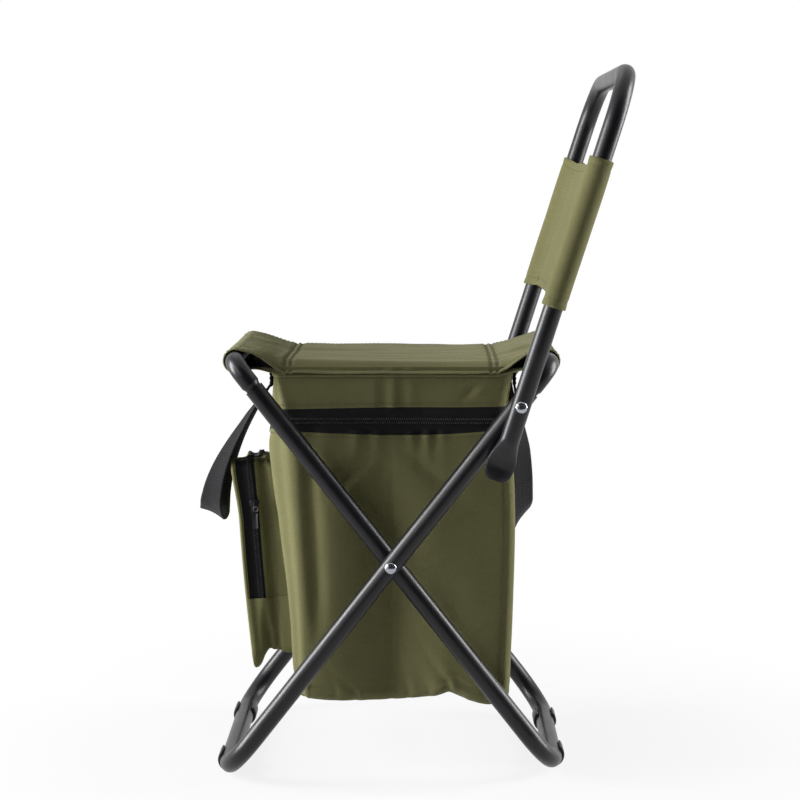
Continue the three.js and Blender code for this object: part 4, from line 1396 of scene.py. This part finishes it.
def makeBagBody():
    top = bag["zipBottom"]
    above = ladder(bag["top"], top + 0.0042, 14, 0.0010)
    hem = [(top + rise, out) for rise, out in bag["bodyHem"]]
    fall = ladder(top - 0.004, bag["bottom"] + bag["bottomEdge"], 66)
    rows = bagRows(above + hem + fall)
    base, ways = bagRow(fall[-1][0])
    edgeSteps = 5
    for k in range(1, edgeSteps + 1):
        angle = math.pi / 2 * k / edgeSteps
        inset = bag["bottomEdge"] * (1 - math.cos(angle))
        drop = bag["bottomEdge"] * math.sin(angle)
        rows.append([p - way * inset - Vector((0, 0, drop)) for p, way in zip(base, ways)])
    middle = sum(p.x for p in rows[-1]) / len(rows[-1])
    closeBottom(rows, Vector((middle, 0, bag["bottom"] + 0.001)), 14, 0.0016, 24, 3.3)
    # above the hem only the rear face goes on up, between the zip's ends
    shell = sheetMesh("bagShell", rows, keep=lambda i, j: i >= len(above) or not onZip(j))
    thicken(shell, bag["cloth"], -1.0, oliveCloth, foil)
    sewToBag(shell, "bag_body", "olive_cloth", "bag_front_panel", "bag_rear_panel", "bag_left_panel",
             "bag_right_panel", "bag_bottom_panel")

    inside = ladder(bag["zipMiddle"] - 0.001, bag["bottom"] + 0.016, 44, -bag["foam"])
    rows = [bagRow(inside[0][0], -0.0016)[0]] + bagRows(inside)
    closeBottom(rows, Vector((middle, 0, bag["bottom"] + 0.0095)), 10, 0.0012, 30, 8.3, 0.004)
    lining = sheetMesh("coolerLiner", rows, flip=True)
    thicken(lining, bag["liner"], 1.0, foil)
    sewToBag(lining, "bag_body", "foil_foam", "cooler_liner")


lid = {
    "front": -0.1122, "rear": 0.0800, "half": 0.0835, "level": 0.3412, "wave": 0.0012, "thick": 0.0024,
    "rows": 24, "columns": 22,
}


def makeSkirt():
    low = bag["zipTop"]
    levels = ladder(bag["top"], low + 0.0022, 16, 0.0004)
    levels += [(low + rise, out) for rise, out in bag["skirtHem"]]
    skirt = sheetMesh("bagSkirt", bagRows(levels), keep=lambda i, j: onZip(j))
    thicken(skirt, bag["skirtCloth"], -1.0, oliveCloth, foil)
    sewToBag(skirt, "bag_top", "olive_cloth", "bag_skirt")

    angles = [2 * math.pi * k / 8 for k in range(9)]
    up = Vector((0, 0, 1))
    rows = []
    for place, way in bagPath(bag["pipingAt"], bag["pipingOut"], 0, rearFirst):
        rows.append([place + (way * math.cos(a) + up * math.sin(a)) * bag["piping"] for a in angles])
    piping = sheetMesh("skirtPiping", rows)
    smoothShade(piping, 60)
    paint(piping, oliveCloth)
    sewToBag(piping, "bag_top", "olive_cloth")

    rows = []
    for k in range(lid["rows"] + 1):
        x = lid["front"] + (lid["rear"] - lid["front"]) * k / lid["rows"]
        row = []
        for j in range(lid["columns"] + 1):
            y = lid["half"] * (2 * j / lid["columns"] - 1)
            row.append(Vector((x, y, lid["level"] + lid["wave"] * ripple(x * 30, j * 0.9, 1.9))))
        rows.append(row)
    lining = sheetMesh("lidLiner", rows, flip=True)
    thicken(lining, lid["thick"], 0.0, foil)
    sewToBag(lining, "bag_top", "foil_foam", "lid_pad")


def bagPath(z, out, first, last):
    row, ways = bagRow(z, out)
    return [(row[j], ways[j]) for j in range(first, last)]


zipper = {
    "pitch": 0.0019, "tooth": 0.0026, "width": 0.0012, "height": 0.0010, "lean": 0.35,
    "out": 0.0005, "rise": 0.0014, "lap": 0.0025, "gap": 0.0003, "tape": 0.0007,
    "pocketRise": 0.0011, "pocketStep": 0.0005,
}


def toothSeeds(path, rise, offset):
    seeds = []
    for place, way, up in walk(path, zipper["pitch"]):
        tall = way.cross(up).normalized()
        if tall.z < 0:
            tall = -tall
        slant = (tall + way * zipper["lean"]).normalized()
        at = place + tall * rise + way * offset
        seeds.append((at, slant, up, zipper["tooth"], zipper["width"], zipper["height"]))
    return seeds


def makeZipSide(name, body, node, start, end, out, rise, offset):
    tape = sheetMesh(name + "Tape", bagRows(ladder(start, end, 10, out)), keep=lambda i, j: onZip(j))
    thicken(tape, zipper["tape"], 0.0, zipTape)
    sewToBag(tape, body, "zip_tape", node)
    path = bagPath(bag["zipMiddle"], zipper["out"], lastColumn - intoCorner, lastColumn)
    path += bagPath(bag["zipMiddle"], zipper["out"], 0, rearFirst + intoCorner)
    teeth = grains(name + "Teeth", toothSeeds(path, rise, offset), coilPlastic)
    sewToBag(teeth, body, "zip_tape")


def makeZip():
    # the lower teeth stand half a pitch along, between the upper ones
    middle = bag["zipMiddle"]
    makeZipSide("zipUpper", "bag_top", "main_zip_upper_tape", bag["zipTop"] + zipper["lap"],
                middle - zipper["gap"], -0.0001, zipper["rise"], 0.0)
    makeZipSide("zipLower", "bag_body", "main_zip_lower_tape", middle + zipper["gap"],
                bag["zipBottom"] - zipper["lap"], -0.0005, -zipper["rise"], zipper["pitch"] / 2)


def makeBagStitches():
    upper = stitchSeeds(bagPath(bag["pipingAt"] - 0.0024, 0.0007, 0, rearFirst))
    upper += stitchSeeds(bagPath(bag["zipTop"] + 0.0030, 0.0010, 0, rearFirst))
    sewToBag(grains("skirtStitches", upper, oliveThread), "bag_top", "olive_cloth")
    lower = stitchSeeds(bagPath(bag["zipBottom"] - 0.0030, 0.0009, 0, rearFirst))
    for column in (1, rearFirst - 1):
        path = []
        for z, out in ladder(bag["zipBottom"] - 0.006, bag["bottom"] + 0.012, 40, -0.0001):
            row, ways = bagRow(z, out)
            path.append((row[column], ways[column]))
        lower += stitchSeeds(path)
    sewToBag(grains("bagStitches", lower, oliveThread), "bag_body", "olive_cloth")


makeBagBody()
makeSkirt()
makeZip()
makeBagStitches()
print("bag: shell, liner, skirt and zip sewn")


# Front pocket: a gusset, a zip band and an edged front, stacked out from the bag's face

pocket = {
    "top": Vector((-0.1168, 0, 0.2700)), "slope": (0.017, 0.2254), "half": 0.060, "tall": 0.1785,
    "corner": 0.012, "gusset": 0.0168, "zip": 0.0304, "front": 0.0336, "coil": 0.0211, "zipLong": 0.1235,
    "cloth": 0.0011, "tape": 0.0008, "onBag": 0.0012, "start": -0.002,
    # how far each wall folds inwards, against the distance out from the bag
    "sideFold": [(-0.002, 0.0000), (0.0030, 0.0016), (0.0070, 0.0030), (0.0108, 0.0058), (0.0136, 0.0034),
                 (0.0162, 0.0002), (0.0200, -0.0004), (0.0266, 0.0008), (0.0304, -0.0002),
                 (0.0334, 0.0006)],
    "topFold": [(-0.002, 0.0005), (0.0040, 0.0078), (0.0085, 0.0022), (0.0120, 0.0052), (0.0146, 0.0016),
                (0.0200, -0.0006), (0.0266, 0.0008), (0.0300, -0.0002), (0.0334, 0.0006)],
    "bottomFold": [(-0.002, 0.0080), (0.0050, 0.0066), (0.0100, 0.0085), (0.0150, 0.0118), (0.0200, 0.0110),
                   (0.0230, 0.0065), (0.0266, -0.0012), (0.0300, -0.0052), (0.0334, -0.0060)],
    "lowFold": 0.0078, "lowFoldAt": 0.0185, "lowFoldWidth": 0.0034, "slackFold": 0.55, "slackWave": 0.0012,
    "topSag": 0.0050, "slouch": 0.0090, "belly": 0.0018, "nearLean": 0.0048, "crown": 0.0030,
    "faceWave": 0.0013, "faceSteps": 18, "faceMiddle": 0.52, "tapeSunk": 0.0005, "cuffOver": 0.0013,
    # the front's edge: where it starts inside the zip band, how far it stands over it, and its roll
    "edgeInside": [(0.0024, -0.0010), (0.0002, -0.0008)], "edgeOver": 0.0004, "edgeSteps": 8,
    "rollBack": 0.0013, "rollOut": 0.0015, "rollWide": 0.0014, "rollSteps": 5,
    # stitches: back from the gusset's end, on from the zip's, share of the face, and how far they stand up
    "gussetRow": 0.0022, "edgeRow": 0.0014, "faceRow": 0.93, "faceRowUp": 0.0008, "rowUp": 0.0003,
    "endRowUp": 0.0010,
}
pocketLean = math.atan2(*pocket["slope"])
pocketUp = Vector((-math.sin(pocketLean), 0, math.cos(pocketLean)))
pocketOut = Vector((-math.cos(pocketLean), 0, -math.sin(pocketLean)))
pocketColumns = {"bottom": 16, "corner": 7, "side": 56, "top": 36}


def pocketOutline():
    # once round from the middle of the bottom: across and down, way in, and shares of side, top and bottom
    half = pocket["half"]
    tall = pocket["tall"]
    bend = pocket["corner"]
    spots = []

    def straight(start, end, kind, inward, shares):
        count = pocketColumns[kind]
        for k in range(count):
            spots.append((Vector(start).lerp(Vector(end), k / count), Vector(inward), shares))

    def corner(centre, first, last, firstShares, lastShares):
        for k in range(pocketColumns["corner"]):
            t = k / pocketColumns["corner"]
            angle = math.radians(first + (last - first) * t)
            out = Vector((math.cos(angle), math.sin(angle)))
            shares = tuple(a + (b - a) * t for a, b in zip(firstShares, lastShares))
            spots.append((Vector(centre) + out * bend, -out, shares))

    side = (1, 0, 0)
    top = (0, 1, 0)
    bottom = (0, 0, 1)
    straight((0, tall), (bend - half, tall), "bottom", (0, -1), bottom)
    corner((bend - half, tall - bend), 90, 180, bottom, side)
    straight((-half, tall - bend), (-half, bend), "side", (1, 0), side)
    corner((bend - half, bend), 180, 270, side, top)
    straight((bend - half, 0), (half - bend, 0), "top", (0, 1), top)
    corner((half - bend, bend), 270, 360, top, side)
    straight((half, bend), (half, tall - bend), "side", (-1, 0), side)
    corner((half - bend, tall - bend), 0, 90, side, bottom)
    straight((half - bend, tall), (0, tall), "bottom", (0, -1), bottom)
    spots.append(spots[0])
    return spots


pocketSpots = pocketOutline()


def bagFrontAt(y, z):
    # where the bag's own front face lies
    big = readTable(bag["frontCorner"], z)
    flat = bag["half"] - big
    x = readTable(bag["front"], z)
    if abs(y) <= flat:
        return x - bagPush(Vector((x, y)), "front", -y / flat, z)
    return x + big - math.sqrt(max(big * big - (abs(y) - flat) ** 2, 0.0))


def pocketRow(out, raised=0.0):
    folds = [readTable(pocket[wall], out) for wall in ("sideFold", "topFold", "bottomFold")]
    slack = 1 - softStep(out, 0.0200, 0.0290)
    row = []
    ways = []
    for spot, inward, shares in pocketSpots:
        seed = 3.0 if spot.x < 0 else 8.0
        inwards = sum(share * fold for share, fold in zip(shares, folds))
        low = softStep(spot.y, pocket["zipLong"] - 0.004, pocket["tall"] - 0.012)
        lowFold = bell(out - pocket["lowFoldAt"], pocket["lowFoldWidth"])
        inwards += shares[0] * low * pocket["lowFold"] * lowFold
        inwards *= 1 + pocket["slackFold"] * slack * ripple(spot.x * 22, spot.y * 17, seed)
        inwards += pocket["slackWave"] * slack * ripple(spot.x * 40, spot.y * 34, out * 90 + seed)
        place = spot + inward * (inwards - raised)
        sag = pocket["topSag"] * shares[1] * (1 - (spot.x / pocket["half"]) ** 2)
        upper = 1 - softStep(spot.y, 0.0, 0.110)
        down = place.y + sag + pocket["slouch"] * upper * softStep(spot.x, -0.045, 0.060)
        belly = pocket["belly"] * math.sin(math.pi * spot.y / pocket["tall"])
        nearTop = (1 - softStep(spot.y, 0.0, 0.055)) * (1 - softStep(spot.x, -0.055, 0.030))
        belly += pocket["nearLean"] * nearTop
        belly *= softStep(out, 0.0120, 0.0334)
        point = pocket["top"] + Vector((0, place.x, 0)) - pocketUp * down + pocketOut * (out + belly)
        onBag = bagFrontAt(point.y, point.z) + pocket["onBag"]
        point.x += (onBag - point.x) * (1 - softStep(out, pocket["start"], 0.0070))
        row.append(point)
        ways.append(Vector((0, -inward.x, 0)) + pocketUp * inward.y)
    return row, ways


def isZip(j):
    return pocketSpots[j][0].y < pocket["zipLong"]


def pocketPath(out, raised):
    row, ways = pocketRow(out, raised)
    return list(zip(row, ways))


def makePocketWalls(gussetOuts, bandOuts, cuffOuts):
    gusset = sheetMesh("pocketGusset", [pocketRow(out)[0] for out in gussetOuts])
    thicken(gusset, pocket["cloth"], -1.0, oliveCloth, blackLining)
    sewToBag(gusset, "bag_body", "olive_cloth", "pocket_gusset")
    rows = [pocketRow(out, -pocket["tapeSunk"])[0] for out in bandOuts]
    tape = sheetMesh("pocketZipTape", rows, keep=lambda i, j: isZip(j))
    thicken(tape, pocket["tape"], -1.0, zipTape)
    sewToBag(tape, "bag_body", "zip_tape", "pocket_zip_tape")
    rows = [pocketRow(out, pocket["cuffOver"])[0] for out in cuffOuts]
    lower = sheetMesh("pocketLowerBand", rows, keep=lambda i, j: not (isZip(j) and isZip(j + 1)))
    thicken(lower, pocket["cloth"], -1.0, oliveCloth, blackLining)
    sewToBag(lower, "bag_body", "olive_cloth", "pocket_lower_band")


def makePocketFace(edge, centre):
    # the edge starts inside the zip band, comes back over it, rolls round and runs flat to the middle
    start = pocket["zip"]
    rows = [pocketRow(start + out, raised)[0] for out, raised in pocket["edgeInside"]]
    overs = evenly(start - 0.0002, pocket["front"] - 0.0026, pocket["edgeSteps"])
    rows += [pocketRow(out, pocket["edgeOver"])[0] for out in overs]
    for k in range(1, pocket["rollSteps"] + 1):
        angle = math.radians(-60 + 150 * k / pocket["rollSteps"])
        out = pocket["front"] - pocket["rollBack"] + pocket["rollOut"] * math.sin(angle)
        rows.append(pocketRow(out, pocket["rollWide"] * math.cos(angle))[0])
    for k in range(pocket["faceSteps"] + 1):
        share = 1 - k / pocket["faceSteps"]
        crown = pocket["crown"] * (1 - share * share)
        row = []
        for p in edge:
            flatPoint = centre.lerp(p, share)
            uneven = ripple(flatPoint.y * 18, flatPoint.z * 12, 5.1) * (1 - share ** 4)
            row.append(flatPoint + pocketOut * (crown + pocket["faceWave"] * uneven))
        rows.append(row)
    face = sheetMesh("pocketFront", rows, lay=lambda p: (p.y, p.dot(pocketUp)))
    thicken(face, pocket["cloth"], -1.0, oliveCloth, blackLining)
    sewToBag(face, "bag_body", "olive_cloth", "pocket_front")


def makePocketTeeth():
    coil = pocketPath(pocket["coil"], 0.0001)
    path = [coil[j] for j in range(len(coil)) if isZip(j)]
    seeds = []
    for side in (-1, 1):
        for place, way, up in walk(path, zipper["pitch"]):
            slant = (pocketOut + way * zipper["lean"] * side).normalized()
            at = place + pocketOut * zipper["pocketRise"] * side + way * zipper["pocketStep"] * (side + 1)
            seeds.append((at, slant, up, zipper["tooth"], zipper["width"], zipper["height"]))
    sewToBag(grains("pocketZipTeeth", seeds, blackThread), "bag_body", "zip_tape")


def makePocketStitches(edge, centre, cuffOuts):
    seeds = stitchSeeds(pocketPath(pocket["gusset"] - pocket["gussetRow"], pocket["rowUp"]))
    seeds += stitchSeeds(pocketPath(pocket["zip"] + pocket["edgeRow"], pocket["rowUp"]))
    lift = pocketOut * pocket["faceRowUp"]
    seeds += stitchSeeds([(centre.lerp(p, pocket["faceRow"]) + lift, pocketOut) for p in edge])
    for side in (-1, 1):
        # down each end of the lower band, where the zip stops
        ends = [j for j, spot in enumerate(pocketSpots) if spot[0].x * side > 0 and not isZip(j)]
        j = min(ends, key=lambda k: pocketSpots[k][0].y)
        seeds += stitchSeeds([pocketPath(out, pocket["endRowUp"])[j] for out in cuffOuts[3:]])
    sewToBag(grains("pocketStitches", seeds, oliveThread), "bag_body", "olive_cloth")


def makePocket():
    gussetOuts = evenly(pocket["start"], pocket["gusset"] + 0.0006, 16)
    bandOuts = evenly(pocket["gusset"] - 0.0010, pocket["zip"] + 0.0016, 12)
    cuffOuts = gussetOuts[:-1] + bandOuts[1:]
    edge = pocketRow(pocket["front"] - 0.0006, -0.0016)[0]
    centre = pocket["top"] - pocketUp * pocket["tall"] * pocket["faceMiddle"] + pocketOut * pocket["front"]
    makePocketWalls(gussetOuts, bandOuts, cuffOuts)
    makePocketFace(edge, centre)
    makePocketTeeth()
    makePocketStitches(edge, centre, cuffOuts)


makePocket()
print("pocket: sewn")


# Webbing: tabs sewn to the bag and the loops that hang from them

strap = {
    "width": 0.025, "thick": 0.0016, "edge": 0.0004, "spread": 0.052, "sinkPower": 0.62, "spreadPower": 0.8,
    "curl": 0.0011, "wave": 0.0006, "steps": 110, "across": 8, "nudge": 0.004,
}
# the way it faces, where it is sewn, how far it hangs and stands off, and its twist against how far down
frontLoop = {
    "facing": -1, "hinge": Vector((-0.1206, 0, 0.3302)), "drop": 0.119, "throw": 0.0545,
    "twist": [(0.0, 0), (0.15, 12), (0.5, 30), (0.8, 44), (0.95, 58), (1.0, 68)],
}
rearLoop = {
    "facing": 1, "hinge": Vector((0.087024, 0, 0.3297)), "drop": 0.122, "throw": 0.009,
    "twist": [(0.0, 0), (0.12, -20), (0.3, -40), (0.8, -44), (1.0, -35)],
}
tab = {
    "steps": 8, "puff": 0.0004, "standOff": 0.0009, "drop": 0.0012, "rearTuck": 0.0004,
    "boxInset": 0.0025, "boxOff": 0.0020,
}


def strapPoint(loop, share):
    angle = math.pi * share
    sink = math.sin(angle) ** strap["sinkPower"] if 0 < share < 1 else 0.0
    ease = math.sin(math.pi / 2 * sink)
    side = -math.copysign(1, math.cos(angle))
    spread = side * strap["spread"] * abs(math.cos(angle)) ** strap["spreadPower"]
    out = loop["facing"] * loop["throw"] * ease
    return Vector((loop["hinge"].x + out, spread, loop["hinge"].z - loop["drop"] * sink))


def makeStrap(name, node, body, loop):
    rows = []
    for i in range(strap["steps"] + 1):
        share = i / strap["steps"]
        slack = math.sin(math.pi * share)
        at = strapPoint(loop, share)
        before = strapPoint(loop, max(share - strap["nudge"], 0))
        along = (strapPoint(loop, min(share + strap["nudge"], 1)) - before).normalized()
        out = Vector((loop["facing"], 0, 0))
        out = (out - along * out.dot(along)).normalized()
        angle = math.radians(readTable(loop["twist"], slack))
        wide = along.cross(out) * math.cos(angle) + out * math.sin(angle)
        thin = along.cross(wide)
        row = []
        for k in range(strap["across"] + 1):
            t = 2 * k / strap["across"] - 1
            bow = strap["curl"] * (1 - t * t)
            bow += strap["wave"] * ripple(share * 11, t * 0.8, 4.0 + loop["facing"])
            row.append(at + wide * t * strap["width"] / 2 + thin * bow * slack)
        rows.append(row)
    obj = sheetMesh(name, rows)
    addModifier(obj, "SOLIDIFY", thickness=strap["thick"], offset=0.0)
    bevelEdges(obj, strap["edge"], 60, 1)
    smoothShade(obj, 50)
    paint(obj, webbing)
    sewToBag(obj, body, "black_webbing", node)


def makeTab(name, node, body, facing):
    low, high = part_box(node)
    face = low.x - tab["rearTuck"] if facing > 0 else high.x
    low.z -= tab["drop"]
    rows = []
    for down in evenly(0, 1, tab["steps"]):
        row = []
        for across in evenly(0, 1, tab["steps"]):
            puff = tab["puff"] * math.sin(math.pi * down) * math.sin(math.pi * across)
            y = low.y + (high.y - low.y) * across
            z = high.z - (high.z - low.z) * down
            row.append(Vector((face + facing * (tab["standOff"] + puff), y, z)))
        rows.append(row)
    obj = sheetMesh(name, rows)
    addModifier(obj, "SOLIDIFY", thickness=strap["thick"], offset=0.0)
    smoothShade(obj, 50)
    paint(obj, webbing)
    sewToBag(obj, body, "black_webbing", node)
    # a box of stitches with both diagonals
    inset = tab["boxInset"]
    x = face + facing * tab["boxOff"]
    left = low.y + inset
    right = high.y - inset
    bottom = low.z + inset
    top = high.z - inset
    corners = [Vector((x, y, z)) for y, z in ((left, bottom), (right, bottom), (right, top), (left, top))]
    up = Vector((facing, 0, 0))
    seeds = []
    for a, b in ((0, 1), (1, 2), (2, 3), (3, 0), (0, 2), (1, 3)):
        seeds += stitchSeeds([(corners[a], up), (corners[b], up)])
    sewToBag(grains(name + "Stitches", seeds, blackThread), body, "black_webbing")


makeStrap("frontHandle", "front_handle", "front_handle_loop", frontLoop)
makeStrap("rearHandle", "rear_handle", "rear_handle_loop", rearLoop)
for sideName in ("left", "right"):
    makeTab("frontTab" + sideName.title(), "front_handle_tab_" + sideName, "bag_top", -1)
    makeTab("rearTab" + sideName.title(), "rear_handle_tab_" + sideName, "bag_body", 1)
print("webbing: handles and tabs sewn")


# Zip sliders: a tapered body with a bridge, and a pull with a ring and a sunk face

slider = {
    "length": 0.0105, "width": 0.0086, "thick": 0.0012, "lift": 0.0007, "taper": 0.60, "edge": 0.0004,
    "rail": (0.0042, 0.0006, 0.0012), "railBack": 0.0004, "railEdge": 0.0002,
    "bridge": (0.0070, 0.0018, 0.0013), "bridgeBack": 0.0004, "bridgeSunk": 0.0003, "bridgeEdge": 0.0005,
    "plate": (0.0130, 0.0042, 0.0011), "plateTaper": 0.66, "plateRim": 0.0007, "plateSunk": 0.0003,
    "plateEdge": 0.0003, "ring": 0.0020, "wire": 0.00055,
}


def block(name, size, place, edge=0):
    deselectAll()
    bpy.ops.mesh.primitive_cube_add(size=1, location=place)
    obj = bpy.context.object
    obj.name = name
    obj.scale = size
    applyPlace(obj)
    if edge:
        addModifier(obj, "BEVEL", width=edge, segments=2, limit_method="NONE")
    return obj


def standOnZip(obj, place, along):
    # local x runs along the zip, y across it and z out of the cloth, towards the near side
    out = Vector((0, -1, 0))
    turned = Matrix((along, out.cross(along), out)).transposed().to_4x4()
    obj.matrix_world = Matrix.Translation(place) @ turned
    applyPlace(obj)
    smoothShade(obj, 40)


def makeSlider(name, node, body, along):
    length = slider["length"]
    lift = slider["lift"]
    shell = block(name, (length, slider["width"], slider["thick"]), (0, 0, lift))
    pickPoints(shell, lambda p: p.x < 0)
    bpy.ops.transform.resize(value=(1, slider["taper"], 1), center_override=(0, 0, lift))
    closeEdit()
    addModifier(shell, "BEVEL", width=slider["edge"], segments=2, limit_method="NONE")
    top = lift + slider["thick"] / 2
    at = (-slider["bridgeBack"], 0, top + slider["bridge"][2] / 2 - slider["bridgeSunk"])
    pieces = [shell, block(name + "Bridge", slider["bridge"], at, slider["bridgeEdge"])]
    railLong, railWide, railDeep = slider["rail"]
    for side in (-1, 1):
        # the flanges turned down at the wide end, clear of the teeth that run between them
        at = (length / 2 - railLong / 2 - slider["railBack"], side * (slider["width"] - railWide) / 2,
              lift - railDeep / 2)
        pieces.append(block(name + "Rail", slider["rail"], at, slider["railEdge"]))
    shell = joinAll(name, pieces)
    standOnZip(shell, middleOf(node), along)
    paint(shell, sliderMetal)
    sewToBag(shell, body, "zip_metal", node)


def makePull(name, node, body):
    low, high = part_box(node)
    half = (high.z - low.z) / 2
    deselectAll()
    bpy.ops.mesh.primitive_torus_add(
        major_radius=slider["ring"], minor_radius=slider["wire"], major_segments=20, minor_segments=8)
    ring = bpy.context.object
    ring.location = (half - slider["ring"] - slider["wire"], 0, 0)
    applyPlace(ring)
    middle = slider["plate"][0] / 2 - half
    plate = block(node + "Plate", slider["plate"], (middle, 0, 0))
    pickPoints(plate, lambda p: p.x > middle)
    bpy.ops.transform.resize(value=(1, slider["plateTaper"], 1), center_override=(0, 0, 0))
    closeEdit()
    deselectAll()
    for face in plate.data.polygons:
        face.select = face.normal.z > 0.9
    openEdit(plate, "FACE")
    bpy.ops.mesh.inset(thickness=slider["plateRim"], depth=-slider["plateSunk"])
    closeEdit()
    bevelEdges(plate, slider["plateEdge"], 50)
    pull = joinAll(name, [plate, ring])
    standOnZip(pull, middleOf(node), Vector((0, 0, 1)))
    paint(pull, pullMetal)
    sewToBag(pull, body, "zip_metal", node)


makeSlider("mainZipSlider", "main_zip_slider", "main_zip_runner", Vector((1, 0, 0)))
makePull("mainZipSliderPull", "main_zip_pull", "main_zip_runner")
makeSlider("pocketZipSlider", "pocket_zip_slider", "pocket_zip_runner", pocketUp)
makePull("pocketZipSliderPull", "pocket_zip_pull", "pocket_zip_runner")
print("sliders: made")
